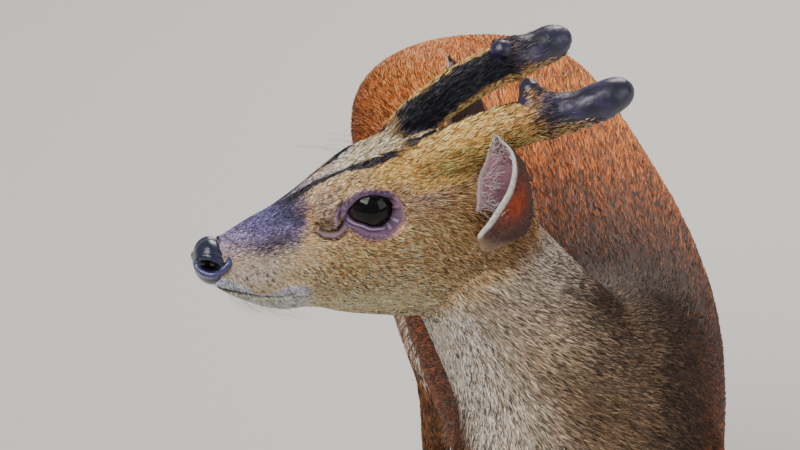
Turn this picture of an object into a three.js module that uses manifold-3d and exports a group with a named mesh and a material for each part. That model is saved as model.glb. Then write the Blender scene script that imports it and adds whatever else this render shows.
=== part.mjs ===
// A life-size still model of a small muntjac buck in velvet, standing with the head turned to its right.
// Millimetres, +Z up. The trunk points along -Y and its left side is +X.
import * as THREE from "three";
import { mergeVertices } from "three/addons/utils/BufferGeometryUtils.js";
import Module from "manifold-3d";

const wasm = await Module();
wasm.setup();

// Driving dimensions
const GAP = 0.3; // between two nodes that touch
const EYE_HEIGHT = 572; // mid-eye point above the ground
const MID_EYE = new THREE.Vector3(-145, -197, EYE_HEIGHT);
const HEAD_TURN = 85; // degrees that the head looks to the right of the trunk
const HEAD_NOD = 5; // degrees that the nose points down
const HEAD_ROLL = 5; // degrees that the left side of the head is lifted
const FORE_X = -3; // middle of the forelegs, to the side of the origin
const HIND_X = -20; // middle of the hind legs
const TAIL_X = -34;
const EYE_RADIUS = 15;
const EYE_CENTRE = [0, 21, 0]; // left eye, in the head's frame
const SOLE_TOP = 20; // height of the hooves

// The head's frame: +X to the nose, +Y to its left, +Z up, origin midway between the eyes.
const radians = THREE.MathUtils.degToRad;
const headFrame = new THREE.Matrix4()
  .makeTranslation(MID_EYE)
  .multiply(new THREE.Matrix4().makeRotationZ(-radians(90 + HEAD_TURN)))
  .multiply(new THREE.Matrix4().makeRotationY(radians(HEAD_NOD)))
  .multiply(new THREE.Matrix4().makeRotationX(radians(HEAD_ROLL)));

// Uniform Catmull-Rom through rows of numbers, at t from 0 to rows.length - 1.
function spline(rows, t) {
  const last = rows.length - 1;
  const i = Math.min(Math.floor(t), last - 1);
  const f = t - i;
  const at = (k) => rows[Math.max(0, Math.min(last, k))];
  const [a, b, c, d] = [at(i - 1), at(i), at(i + 1), at(i + 2)];
  return b.map(
    (_, k) =>
      b[k] +
      0.5 * f * (c[k] - a[k] +
        f * (2 * a[k] - 5 * b[k] + 4 * c[k] - d[k] +
          f * (3 * (b[k] - c[k]) + d[k] - a[k]))),
  );
}

// A closed mesh becomes a solid whose faces point out.
function solidOf(points, faces) {
  const geometry = new THREE.BufferGeometry().setFromPoints(points);
  geometry.setIndex(faces);
  const merged = mergeVertices(geometry, 1e-4);
  const triVerts = new Uint32Array(merged.index.array);
  const build = () =>
    new wasm.Manifold(
      new wasm.Mesh({ numProp: 3, vertProperties: merged.attributes.position.array, triVerts }),
    );
  const made = build();
  if (made.volume() > 0) return made;
  for (let i = 0; i < triVerts.length; i += 3) {
    [triVerts[i + 1], triVerts[i + 2]] = [triVerts[i + 2], triVerts[i + 1]];
  }
  return build();
}

// A skin over rings of points, closed by a fan at each end.
function loft(rings) {
  const around = rings[0].length;
  const middle = (ring) =>
    ring.reduce((sum, p) => sum.add(p), new THREE.Vector3()).divideScalar(around);
  const points = [...rings.flat(), middle(rings[0]), middle(rings.at(-1))];
  const faces = [];
  rings.slice(1).forEach((_, r) => {
    for (let k = 0; k < around; k++) {
      const a = r * around + k;
      const b = r * around + ((k + 1) % around);
      faces.push(a, b, a + around, b, b + around, a + around);
    }
  });
  const first = rings.length * around;
  const end = (rings.length - 1) * around;
  for (let k = 0; k < around; k++) {
    const next = (k + 1) % around;
    faces.push(first, next, k, first + 1, end + k, end + next);
  }
  return solidOf(points, faces);
}

const power = (x, n) => Math.sign(x) * Math.abs(x) ** (2 / n);
const hill = (x, centre, width) => Math.exp(-(((x - centre) / width) ** 2));
const steps = (count) => Array.from({ length: count + 1 }, (_, i) => i / count);

// Trunk stations from breast to rump: middle x, y, top, bottom, half width, and the share of the
// height where it is widest.
const TRUNK = [
  [-12, -298, 378, 346, 14, 0.5],
  [-11, -291, 405, 318, 36, 0.5],
  [-9, -268, 448, 284, 58, 0.48],
  [-6, -225, 482, 262, 72, 0.47],
  [-1, -170, 492, 255, 84, 0.47],
  [5, -105, 488, 253, 92, 0.51],
  [6, -40, 485, 258, 98, 0.54],
  [1, 30, 491, 268, 101, 0.55],
  [-7, 95, 503, 283, 98, 0.54],
  [-17, 155, 511, 304, 95, 0.56],
  [-27, 210, 505, 334, 92, 0.57],
  [-34, 252, 480, 364, 76, 0.54],
  [-37, 277, 448, 392, 48, 0.5],
  [-38, 285, 432, 406, 16, 0.5],
];
const SQUARE_BACK = 2.3;
const SQUARE_BELLY = 1.95;

function trunkRing(row, around, grow) {
  const [x, y, top, bottom, half, level] = row;
  const mid = bottom + (top - bottom) * level;
  return steps(around).slice(1).map((s) => {
    const angle = 2 * Math.PI * s;
    const back = Math.sin(angle) > 0;
    const squareness = back ? SQUARE_BACK : SQUARE_BELLY;
    const side = (half + grow) * power(Math.cos(angle), squareness);
    const up = back ? top - mid + grow : mid - bottom + grow;
    return new THREE.Vector3(
      x + side, y, mid + up * power(Math.sin(angle), squareness));
  });
}

function trunk(grow = 0) {
  const along = 21;
  return loft(steps(along).map((s) => trunkRing(spline(TRUNK, s * (TRUNK.length - 1)), 24, grow)));
}

// Neck stations from inside the trunk to inside the skull: centre x, y, z, half depth from nape to
// throat, half width, and how far the throat has turned to the right, in degrees.
const NECK = [
  [-8, -178, 352, 92, 74, 0],
  [-15, -194, 390, 92, 76, 8],
  [-26, -201, 425, 80, 72, 22],
  [-40, -198, 458, 63, 59, 40],
  [-60, -193, 490, 53, 49, 58],
  [-78, -190, 520, 46, 42, 74],
  [-88, -188, 545, 41, 37, 84],
  [-92, -188, 560, 30, 26, 85],
];

function neck(grow = 0) {
  const along = 12;
  const around = 20;
  const rows = steps(along).map((s) => spline(NECK, s * (NECK.length - 1)));
  const centres = rows.map(([x, y, z]) => new THREE.Vector3(x, y, z));
  return loft(rows.map(([, , , deep, wide, turn], i) => {
    const axis = centres[Math.min(i + 1, along)].clone().sub(centres[Math.max(i - 1, 0)]).normalize();
    const throat = new THREE.Vector3(-Math.sin(radians(turn)), -Math.cos(radians(turn)), 0);
    throat.addScaledVector(axis, -throat.dot(axis)).normalize();
    const left = new THREE.Vector3().crossVectors(axis, throat);
    return steps(around).slice(1).map((s) => centres[i].clone()
      .addScaledVector(throat, (deep + grow) * Math.cos(2 * Math.PI * s))
      .addScaledVector(left, (wide + grow) * Math.sin(2 * Math.PI * s)));
  }));
}

// Head stations from lips to nape, in the head's frame: x, top, bottom, widest level, half width,
// squareness above and below that level.
const HEAD = [
  [95, -27, -38, -33, 5, 2, 2],
  [93, -20, -42, -33, 10, 2, 2],
  [87, -13.5, -46, -33, 14, 2.1, 2],
  [78, -9, -52, -34, 16.5, 2.1, 2],
  [67, -4, -58, -35, 18.5, 2.1, 1.9],
  [56, 0, -61.5, -35, 20.5, 2.1, 1.9],
  [45, 5, -62.5, -34, 23, 2.1, 1.9],
  [34, 10, -65, -31, 26.5, 2.1, 1.9],
  [22, 15, -70, -27, 30, 2.2, 1.9],
  [10, 19, -73.5, -24, 33, 2.3, 1.9],
  [-3, 22.5, -76.5, -22, 35.5, 2.4, 1.9],
  [-18, 27, -79.5, -21, 37.5, 2.4, 2],
  [-35, 28.5, -80, -20, 38.5, 2.3, 2],
  [-52, 28, -76, -20, 38, 2.2, 2],
  [-70, 23, -69, -22, 36, 2.1, 2],
  [-85, 11, -62, -25, 32, 2, 2],
  [-94, -6, -54, -30, 24, 2, 2],
  [-97, -20, -44, -32, 9, 2, 2],
];

function headRing(row, around, grow) {
  const [x, top, bottom, level, half, above, below] = row;
  return steps(around).slice(1).map((s) => {
    const angle = 2 * Math.PI * s;
    const upper = Math.sin(angle) > 0;
    const n = upper ? above : below;
    const reach = (upper ? top - level : level - bottom) + grow;
    const y = (half + grow) * power(Math.cos(angle), n);
    const z = level + reach * power(Math.sin(angle), n);
    return headForm(x, y, z);
  });
}

// The forms that stand out of the plain head: brow ridges that lead to the pedicles, the rim of each
// orbit, cheek and lip, and the hollow in front of each eye. x, y and z are in the head's frame.
function headForm(x, y, z) {
  const side = Math.abs(y);
  const brow = 5.5 * hill(side, 16 + 0.12 * Math.max(0, -x), 7) * hill(x, 2, 36) * (z > 0 ? 1 : 0);
  const orbit = 4 * hill(x, 1, 19) * hill(z, 2, 15);
  const hollow = -2.6 * hill(x, 31, 11) * hill(z, -6, 11);
  const cheek = 2.2 * hill(x, -8, 24) * hill(z, -30, 14);
  const lip = 1.5 * hill(x, 47, 9) * hill(z, -47, 6);
  const outward = orbit + hollow + cheek + lip;
  return new THREE.Vector3(x, y + outward * (y / (side + 4)), z + brow);
}

function headCore(grow = 0) {
  const along = 26;
  return loft(steps(along).map((s) => headRing(spline(HEAD, s * (HEAD.length - 1)), 28, grow)));
}

// A round limb along centres with radii, in the head's frame: rows of x, y, z, radius.
function limb(rows, along, around, grow = 0, mirror = 1) {
  const path = steps(along).map((s) => spline(rows, s * (rows.length - 1)));
  const centres = path.map(([x, y, z]) => new THREE.Vector3(x, y * mirror, z));
  return loft(path.map(([, , , radius], i) => {
    const axis = centres[Math.min(i + 1, along)].clone().sub(centres[Math.max(i - 1, 0)]).normalize();
    const side = new THREE.Vector3(0, 1, 0).addScaledVector(axis, -axis.y).normalize();
    const up = new THREE.Vector3().crossVectors(axis, side);
    return steps(around).slice(1).map((s) => centres[i].clone()
      .addScaledVector(side, (radius + grow) * Math.cos(2 * Math.PI * s))
      .addScaledVector(up, (radius + grow) * Math.sin(2 * Math.PI * s)));
  }));
}

// Pedicle, beam and brow tine of each side as x, y, z, radius; the right ones stand a little higher.
const ANTLERS = {
  left: {
    pedicle: [
      [2, 12, 3, 7],
      [-14, 15, 9, 10],
      [-34, 20, 19, 12],
      [-56, 29, 29.5, 13],
      [-78, 38.5, 38, 13.5],
      [-97, 44, 44, 13.6],
      [-108, 46.5, 45.5, 13.2],
    ],
    beam: [
      [-92, 42.5, 43, 13],
      [-101, 44.8, 44.5, 13.2],
      [-109, 46, 45, 12],
      [-120, 48, 46.5, 11],
      [-131, 49.5, 49.5, 11],
      [-140, 49, 52, 10.4],
      [-147, 48, 54, 7.6],
      [-150, 47.6, 55, 3.2],
    ],
    tine: [
      [-92, 40, 50, 7.6],
      [-92.5, 37.8, 54, 7.4],
      [-93, 35.8, 58.5, 6.4],
      [-93.5, 34.8, 62, 4.4],
      [-93.7, 34.4, 63.6, 1.8],
    ],
  },
  right: {
    pedicle: [
      [2, 12, 3, 7],
      [-12, 14, 12, 10.5],
      [-32, 20, 27, 12.5],
      [-56, 28, 38.5, 13],
      [-80, 37, 46, 13],
      [-97, 42.5, 49.5, 13.2],
      [-108, 45, 52, 12.8],
    ],
    beam: [
      [-92, 41.5, 48.5, 12.8],
      [-101, 43.2, 50.5, 12.8],
      [-109, 44.8, 52, 11.8],
      [-117, 46, 53.5, 11],
      [-125, 47, 55.5, 11],
      [-131, 47, 56.5, 9.8],
      [-136, 46.6, 57, 6.8],
      [-138.5, 46.4, 57, 3],
    ],
    tine: [
      [-92, 38.5, 53, 7.6],
      [-92.5, 36, 56, 7.4],
      [-93, 34, 59.5, 6.4],
      [-93.5, 33, 62.5, 4.4],
      [-93.7, 32.7, 64, 1.8],
    ],
  },
};
const BURR = -98; // x where the velvet of the beam meets the pedicle

// The mesh of a three.js geometry as a solid, without its doubled corners and empty triangles.
function plainSolid(geometry) {
  geometry.deleteAttribute("normal");
  geometry.deleteAttribute("uv");
  const merged = mergeVertices(geometry, 1e-4);
  const position = merged.attributes.position;
  const points = Array.from({ length: position.count }, (_, i) =>
    new THREE.Vector3().fromBufferAttribute(position, i));
  const faces = [];
  for (let i = 0; i < merged.index.count; i += 3) {
    const corners = [0, 1, 2].map((k) => merged.index.getX(i + k));
    if (new Set(corners).size === 3) faces.push(...corners);
  }
  return solidOf(points, faces);
}

function ball(centre, radii, wide, high) {
  const sphere = new THREE.SphereGeometry(1, wide, high);
  sphere.rotateX(Math.PI / 2);
  sphere.scale(...radii);
  sphere.translate(...centre);
  return plainSolid(sphere);
}

// An outline of x and z, pushed through the head sideways from one y to another.
function sideways(outline, fromY, toY) {
  const shape = new THREE.Shape(outline.map(([x, z]) => new THREE.Vector2(x, z)));
  const prism = new THREE.ExtrudeGeometry(shape, { depth: toY - fromY, bevelEnabled: false });
  prism.rotateX(Math.PI / 2);
  prism.translate(0, toY, 0);
  return plainSolid(prism);
}

// The lids: a low dome over each eyeball, opened by an almond that leans down to the front.
const LID_DOME = [18.5, 17.4, 15.8];
const ALMOND = { front: 13.6, back: 13.2, rise: 10.4, fall: 10.8, tilt: 18 };

function lidOpening(mirror) {
  const tilt = radians(ALMOND.tilt);
  const outline = steps(20).slice(1).map((s) => {
    const angle = 2 * Math.PI * s;
    const a = Math.cos(angle) * (Math.cos(angle) > 0 ? ALMOND.front : ALMOND.back);
    const b = power(Math.sin(angle), 1.8) * (Math.sin(angle) > 0 ? ALMOND.rise : ALMOND.fall);
    return [
      EYE_CENTRE[0] + a * Math.cos(tilt) - b * Math.sin(tilt),
      EYE_CENTRE[2] + a * Math.sin(tilt) + b * Math.cos(tilt),
    ];
  });
  const [near, far] = [EYE_CENTRE[1] * mirror, EYE_CENTRE[1] * mirror + 40 * mirror];
  return sideways(outline, Math.min(near, far), Math.max(near, far));
}

// The closed mouth is a thin slit round the lips, from the lip's front to each corner.
const MOUTH = [[104, -39], [92, -40.5], [80, -43.5], [68, -47.5], [56, -51], [45, -52.5]];
const MOUTH_SLIT = 1.3;
const MOUTH_DEPTH = 3;

function mouthSlit() {
  const edge = (shift) => MOUTH.map(([x, z]) => [x, z + shift]);
  const band = [...edge(MOUTH_SLIT / 2), ...edge(-MOUTH_SLIT / 2).reverse()];
  return sideways(band, -40, 40).subtract(headCore(-MOUTH_DEPTH));
}

const NOSE = { centre: [91.5, 0, -27], radii: [11.3, 14, 13.6] };
const nosePad = (grow = 0) => ball(NOSE.centre, NOSE.radii.map((r) => r + grow), 18, 12);

const nostril = (mirror) => limb(
  [[97.5, 5.5, -24, 1.6], [95, 8.6, -25.5, 2.6], [90, 11.6, -27, 2.4], [84, 15.5, -24, 1.4]],
  6, 8, 0, mirror);

// The folded slit of the gland in front of each eye.
const gland = (mirror) => limb(
  [[33, 28, -4, 1], [29, 28.5, -10, 1.9], [22, 31, -12.5, 2], [15.5, 34, -8.5, 1.2]],
  6, 8, 0, mirror);

// The left ear from root to tip: outer rim, back of the cup and inner rim as x, y, z, then how far
// the rims are rolled over the opening, in degrees.
const EAR = [
  [-57, 35, -30, -72, 24, -30, -60, 30, -22, 62],
  [-56, 42, -21, -84, 35, -25, -57, 34, -12, 48],
  [-62, 46, -13, -87.5, 41, -17, -58, 36, -4, 34],
  [-68, 51, -3, -88, 45, -8, -58.5, 38, 4, 22],
  [-74, 57, 9, -86, 48.5, 2, -59.5, 42, 14, 12],
  [-77, 62, 22, -83.5, 53, 15, -62, 48, 23, 6],
  [-76, 64, 34, -79, 59, 28, -64.5, 54, 33, 2],
  [-71, 64.5, 42, -72.5, 62.5, 39, -66.3, 60, 41, 0],
  [-67.6, 64.8, 46, -68.3, 64.3, 45.6, -66.8, 63.8, 45.8, 0],
];
const EAR_THICK = 2.4;

function ear(mirror) {
  const along = 13;
  const across = 10;
  const layer = (inset) => steps(along).map((s) => {
    const row = spline(EAR, s * (EAR.length - 1));
    const [outer, back, inner] = [0, 3, 6].map((k) => new THREE.Vector3(...row.slice(k, k + 3)));
    const roll = radians(row[9]);
    const middle = outer.clone().add(inner).divideScalar(2);
    const chord = outer.clone().sub(inner).divideScalar(2 * Math.cos(roll));
    const deep = back.clone().sub(middle).divideScalar(1 + Math.sin(roll));
    const shrink = (v) => v.setLength(Math.max(0.15 * v.length(), v.length() - inset));
    const centre = middle.addScaledVector(deep, Math.sin(roll));
    shrink(chord);
    shrink(deep);
    return steps(across).map((v) => {
      const angle = -roll + (Math.PI + 2 * roll) * v;
      const p = centre.clone()
        .addScaledVector(chord, Math.cos(angle))
        .addScaledVector(deep, Math.sin(angle));
      p.y *= mirror;
      return p;
    });
  });
  const [skin, hollow] = [layer(0), layer(EAR_THICK)];
  // Each ring runs over the outer face and back over the hollow one.
  return loft(skin.map((row, i) => [...row, ...hollow[i].slice().reverse()]));
}

// Legs as level rings: sideways place, y, z, half length front to back, half width.
const FORELEG = [
  [40, -208, 440, 20, 10],
  [45, -210, 424, 38, 22],
  [51, -218, 380, 50, 28],
  [52, -218, 335, 49, 28],
  [50, -205, 290, 37, 25],
  [47, -196, 252, 25, 19.5],
  [45, -196, 210, 18, 15.5],
  [43, -199, 172, 15, 14],
  [42, -199, 155, 15, 14],
  [41.5, -197, 136, 11.5, 11.5],
  [41, -196, 105, 9.5, 9.5],
  [41, -196, 72, 9.5, 9.5],
  [41, -198, 50, 12.5, 12],
  [41, -205, 34, 11, 11],
  [41, -211, SOLE_TOP + GAP, 13, 14],
];
const HINDLEG = [
  [38, 200, 462, 26, 14],
  [46, 202, 446, 52, 28],
  [51, 196, 408, 74, 37],
  [49, 189, 360, 78, 37],
  [44, 177, 312, 65, 31.5],
  [39, 171, 272, 47, 24],
  [35, 184, 238, 34, 18.5],
  [33, 206, 207, 27, 15],
  [31.5, 226, 180, 24, 12.5],
  [31, 233, 160, 20, 12],
  [31, 230, 138, 13.5, 10.5],
  [31, 223, 105, 10.5, 9.5],
  [31, 215, 72, 10.5, 9.5],
  [31, 208, 50, 13, 12],
  [31, 199, 34, 11, 11],
  [31, 193, SOLE_TOP + GAP, 13, 14],
];
const KNEE = 158; // height where the upper leg meets the lower

function leg(rows, middle, side, grow = 0) {
  const along = 22;
  const around = 14;
  return loft(steps(along).map((s) => {
    const [lateral, y, z, long, wide] = spline(rows, s * (rows.length - 1));
    return steps(around).slice(1).map((v) => new THREE.Vector3(
      middle + side * lateral + (wide + grow) * Math.cos(2 * Math.PI * v),
      y + (long + grow) * Math.sin(2 * Math.PI * v), z));
  }));
}

// One claw of a hoof: flat below, pointed to the front, leaning back to the coronet.
const CLAW = { length: 40, width: 12.5, cleft: 2.4, lean: 10, taper: 0.3, curl: 2.6 };

function claw(x, y, inward) {
  return loft(steps(2).map((s) => {
    const long = (CLAW.length / 2) * (1 - CLAW.taper * s);
    const wide = (CLAW.width / 2) * (1 - 0.08 * s);
    return steps(12).slice(1).map((v) => {
      const angle = 2 * Math.PI * v;
      const ahead = Math.max(0, Math.cos(angle)) ** 2;
      return new THREE.Vector3(
        x + wide * Math.sin(angle) * (1 - 0.45 * ahead) + inward * CLAW.curl * ahead,
        y - CLAW.lean * (1 - s) - long * Math.cos(angle), SOLE_TOP * s);
    });
  }));
}

// A dewclaw points down behind the fetlock.
function dewclaw(x, y, z) {
  return loft(steps(3).map((s) => {
    const radius = 4.6 * Math.sqrt(Math.max(0.04, 1 - s * s));
    return steps(8).slice(1).map((v) => new THREE.Vector3(
      x + radius * 0.8 * Math.cos(2 * Math.PI * v),
      y + 3 * s + radius * Math.sin(2 * Math.PI * v), z - 11 * s));
  }));
}

// The tail hangs down close behind the rump: y, z, half depth, half width.
const TAIL = [
  [262, 455, 12, 17],
  [279, 447, 12, 20],
  [291, 424, 11, 21],
  [294, 394, 10, 21],
  [293, 362, 9, 19],
  [291, 334, 7, 14],
  [289, 312, 4.5, 8],
  [288, 302, 1.5, 3],
];

function tail(grow = 0) {
  const along = 11;
  const rows = steps(along).map((s) => spline(TAIL, s * (TAIL.length - 1)));
  return loft(rows.map(([y, z, deep, wide], i) => {
    const next = rows[Math.min(i + 1, along)];
    const before = rows[Math.max(i - 1, 0)];
    const axis = new THREE.Vector2(next[0] - before[0], next[1] - before[1]).normalize();
    return steps(14).slice(1).map((v) => {
      const back = (deep + grow) * Math.sin(2 * Math.PI * v);
      return new THREE.Vector3(TAIL_X + (wide + grow) * Math.cos(2 * Math.PI * v),
        y - axis.y * back, z + axis.x * back);
    });
  }));
}

// Only the largest closed surface of a cut solid is kept.
function largest(solid) {
  return solid.decompose().reduce((best, piece) => (piece.volume() > best.volume() ? piece : best));
}

const COLOURS = {
  coat: { color: 0x8a5a32, roughness: 0.9, metalness: 0 },
  face: { color: 0xa9763f, roughness: 0.9, metalness: 0 },
  ear: { color: 0x9c7a62, roughness: 0.85, metalness: 0 },
  velvet: { color: 0x2b2433, roughness: 0.6, metalness: 0 },
  nose: { color: 0x23232b, roughness: 0.3, metalness: 0 },
  eye: { color: 0x0b0b0c, roughness: 0.05, metalness: 0 },
  hoof: { color: 0x2a2522, roughness: 0.45, metalness: 0 },
};

const group = new THREE.Group();
function add(name, solid, finish) {
  const mesh = largest(solid).getMesh();
  const stride = mesh.numProp;
  const position = new Float32Array(mesh.numVert * 3);
  for (let i = 0; i < mesh.numVert; i++) {
    position.set(mesh.vertProperties.subarray(i * stride, i * stride + 3), i * 3);
  }
  const geometry = new THREE.BufferGeometry()
    .setAttribute("position", new THREE.BufferAttribute(position, 3))
    .setIndex(new THREE.BufferAttribute(mesh.triVerts, 1));
  const made = new THREE.Mesh(geometry, new THREE.MeshStandardMaterial(COLOURS[finish]));
  made.name = name;
  group.add(made);
}

const inHead = (solid) => solid.transform(headFrame.toArray());
const without = (solid, ...cutters) => wasm.Manifold.difference([solid, ...cutters]);
const eyeball = (mirror, grow = 0) => ball(
  [EYE_CENTRE[0], EYE_CENTRE[1] * mirror, EYE_CENTRE[2]],
  [EYE_RADIUS + grow, EYE_RADIUS + grow, EYE_RADIUS + grow], 16, 10);
const lidDome = (mirror) => ball(
  [EYE_CENTRE[0], EYE_CENTRE[1] * mirror, EYE_CENTRE[2]], LID_DOME, 20, 12);
const SIDES = [["left", 1], ["right", -1]];
const pedicle = ([side, mirror], grow = 0) => limb(ANTLERS[side].pedicle, 10, 12, grow, mirror)
  .trimByPlane([1, 0, 0], BURR + GAP - grow);

// Head, neck and trunk are one body, parted by thin plane cuts.
const skull = wasm.Manifold.union([
  headCore(),
  ...SIDES.map((side) => pedicle(side)),
  ...SIDES.map(([, mirror]) => lidDome(mirror)),
]);
const face = without(skull, nosePad(GAP), mouthSlit(),
  ...SIDES.flatMap(([, m]) => [gland(m), eyeball(m, GAP), lidOpening(m)]));
const body = wasm.Manifold.union([inHead(face), neck(), trunk()]);

// A plane through two points and along a third direction, with its upper side first.
function upperSide(a, b, along) {
  const normal = new THREE.Vector3().subVectors(b, a).cross(along).normalize();
  if (normal.z < 0) normal.negate();
  return [normal.toArray(), normal.dot(a)];
}
const headPoint = (x, y, z) => new THREE.Vector3(x, y, z).applyMatrix4(headFrame);
const headLeft = new THREE.Vector3(0, 1, 0).transformDirection(headFrame);
const throatToNape = upperSide(headPoint(-8, 0, -79), headPoint(-100, 0, -36), headLeft);
const breastToWithers = upperSide(new THREE.Vector3(0, -300, 372),
  new THREE.Vector3(0, -150, 496), new THREE.Vector3(1, 0, 0));
const above = (solid, [normal, offset]) => largest(solid.trimByPlane(normal, offset + GAP / 2));
const below = (solid, [normal, offset]) =>
  largest(solid.trimByPlane(normal.map((n) => -n), -(offset - GAP / 2)));
const underHead = below(body, throatToNape);

const LEGS = [
  { name: "foreleg_left", rows: FORELEG, middle: FORE_X, side: 1 },
  { name: "foreleg_right", rows: FORELEG, middle: FORE_X, side: -1 },
  { name: "hindleg_left", rows: HINDLEG, middle: HIND_X, side: 1 },
  { name: "hindleg_right", rows: HINDLEG, middle: HIND_X, side: -1 },
];
const legOf = ({ rows, middle, side }, grow = 0) => leg(rows, middle, side, grow);
const sockets = LEGS.map((which) => legOf(which, GAP));

add("torso", without(below(underHead, breastToWithers), tail(GAP), ...sockets), "coat");
add("neck", without(above(underHead, breastToWithers), ...sockets), "coat");
add("head", above(body, throatToNape), "face");
add("tail", tail(), "coat");
add("nose_pad", inHead(without(nosePad(), nostril(1), nostril(-1))), "nose");

for (const which of SIDES) {
  const [side, mirror] = which;
  const { beam, tine } = ANTLERS[side];
  const velvet = (grow = 0) => limb(beam, 11, 12, grow, mirror)
    .trimByPlane([-1, 0, 0], -BURR - grow);
  add(`eye_${side}`, inHead(eyeball(mirror)), "eye");
  const cup = without(ear(mirror), headCore(GAP), pedicle(which, GAP));
  add(`ear_${side}`, without(inHead(cup), neck(GAP)), "ear");
  add(`antler_beam_${side}`, inHead(velvet()), "velvet");
  add(`brow_tine_${side}`,
    inHead(without(limb(tine, 5, 10, 0, mirror), pedicle(which, GAP), velvet(GAP))), "velvet");
}

for (const which of LEGS) {
  const { name, rows, middle, side } = which;
  const whole = legOf(which);
  add(`${name}_upper`, whole.trimByPlane([0, 0, 1], KNEE + GAP / 2), "coat");
  add(`${name}_lower`, whole.trimByPlane([0, 0, -1], -(KNEE - GAP / 2)), "coat");
  const [lateral, footY] = rows.at(-1);
  const [, fetlockY, fetlockZ, fetlockDeep] = rows.at(-3);
  for (const [edge, outward] of [["outer", side], ["inner", -side]]) {
    const x = middle + side * lateral;
    const apart = (outward * (CLAW.width + CLAW.cleft)) / 2;
    add(`hoof_${name}_${edge}`, claw(x + apart, footY, -outward), "hoof");
    add(`dewclaw_${name}_${edge}`,
      without(dewclaw(x + outward * 8, fetlockY + fetlockDeep + 1, fetlockZ - 2),
        legOf(which, GAP)), "hoof");
  }
}

// The origin is the middle of the footprint's box, at the ground.
const box = new THREE.Box3().setFromObject(group);
group.position.set(-(box.min.x + box.max.x) / 2, -(box.min.y + box.max.y) / 2, -box.min.z);

export default group;
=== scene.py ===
# %% [markdown]
# # A muntjac buck in velvet, life size
# The animal stands square and looks to its right. Everything here is worked out in the frame of the
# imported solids, in metres. Forms are written in millimetres, because that is how a modeller measures
# an animal, and one function turns them to metres at the end.

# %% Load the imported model
import math

import bpy
import numpy as np
from mathutils import Matrix, Vector
from mathutils.bvhtree import BVHTree


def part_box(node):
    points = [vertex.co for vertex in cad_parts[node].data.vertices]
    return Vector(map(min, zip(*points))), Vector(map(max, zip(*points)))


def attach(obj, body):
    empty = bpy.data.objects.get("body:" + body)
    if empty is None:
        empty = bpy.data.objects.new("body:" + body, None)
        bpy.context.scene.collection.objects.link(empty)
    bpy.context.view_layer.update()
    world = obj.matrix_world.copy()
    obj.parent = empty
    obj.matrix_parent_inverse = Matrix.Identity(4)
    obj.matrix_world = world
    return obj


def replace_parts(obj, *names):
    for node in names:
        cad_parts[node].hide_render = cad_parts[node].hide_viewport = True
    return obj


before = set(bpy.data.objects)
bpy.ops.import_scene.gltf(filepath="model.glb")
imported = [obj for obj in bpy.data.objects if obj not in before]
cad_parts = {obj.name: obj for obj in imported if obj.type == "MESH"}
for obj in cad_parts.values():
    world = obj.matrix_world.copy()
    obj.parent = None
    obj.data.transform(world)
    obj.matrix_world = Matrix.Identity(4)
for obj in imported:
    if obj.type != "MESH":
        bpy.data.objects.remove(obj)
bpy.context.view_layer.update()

# %% [markdown]
# ## Where things are
# The head has a frame of its own: x to the nose, y to the animal's left and z up, with the origin
# midway between the eyes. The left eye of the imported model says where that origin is.

# %% Frames and small helpers
rng = np.random.default_rng(7)
TURN, NOD, ROLL = (math.radians(v) for v in (-175, 5, 5))
EYE_AT = np.array([0, 21, 0])
MODEL_MID_EYE = np.array([-145, -197, 572])


def turned(axis, angle):
    """The matrix of a turn by an angle about one axis."""
    c, s = math.cos(angle), math.sin(angle)
    i, j = [(1, 2), (2, 0), (0, 1)][axis]
    m = np.eye(3)
    m[[i, j, i, j], [i, j, j, i]] = [c, c, -s, s]
    return m


HEAD_AXES = turned(2, TURN) @ turned(1, NOD) @ turned(0, ROLL)
eye_low, eye_high = (np.array(corner) * 1000 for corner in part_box("eye_left"))
SHIFT = (eye_low + eye_high) / 2 - (MODEL_MID_EYE + HEAD_AXES @ EYE_AT)
MID_EYE = MODEL_MID_EYE + SHIFT
print("frame shift in mm:", np.round(SHIFT, 2).tolist())


def from_head(points):
    """Head frame to model frame: the axes carry each point, then the mid-eye point is added."""
    return np.asarray(points, float) @ HEAD_AXES.T + MID_EYE


def to_head(points):
    """Model frame to head frame."""
    return (np.asarray(points, float) - MID_EYE) @ HEAD_AXES


def hill(x, centre, width):
    """A smooth bump of height 1: exp(-((x - centre) / width)^2)."""
    return np.exp(-(((x - centre) / width) ** 2))


def ramp(x, low, high):
    """0 below low, 1 above high, and a smooth s-curve between; low may be the larger."""
    t = np.clip((x - low) / (high - low), 0, 1)
    return t * t * (3 - 2 * t)


def power(x, n):
    """The signed power that squares off a circle into a superellipse."""
    return np.sign(x) * np.abs(x) ** (2 / n)


def unit(v):
    """Vectors of length 1."""
    return v / np.maximum(np.linalg.norm(v, axis=-1, keepdims=True), 1e-9)


def spline(rows, count):
    """Rows of numbers joined smoothly (Catmull-Rom) and read at count even steps."""
    rows = np.asarray(rows, float)
    last = len(rows) - 1
    t = np.linspace(0, last, count)
    i = np.minimum(t.astype(int), last - 1)
    f = (t - i)[:, None]
    a, b, c, d = (rows[np.clip(i + k, 0, last)] for k in (-1, 0, 1, 2))
    return b + 0.5 * f * (c - a + f * (2 * a - 5 * b + 4 * c - d + f * (3 * (b - c) + d - a)))


def grain(points, size, seed=0):
    """Value noise from -1 to 1: random numbers on a lattice of the given size, blended smoothly."""
    p = points / size + seed * 17.3
    cell = np.floor(p).astype(np.int64)
    f = p - cell
    f = f * f * (3 - 2 * f)
    total = 0
    for corner in np.ndindex(2, 2, 2):
        q = cell + corner
        h = (q[:, 0] * 73856093) ^ (q[:, 1] * 19349663) ^ (q[:, 2] * 83492791) ^ (seed * 2654435)
        h = (h ^ (h >> 13)) * 1274126177
        value = ((h ^ (h >> 16)) & 65535) / 32767.5 - 1
        total = total + value * np.prod(np.where(corner, f, 1 - f), axis=1)
    return total


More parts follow.
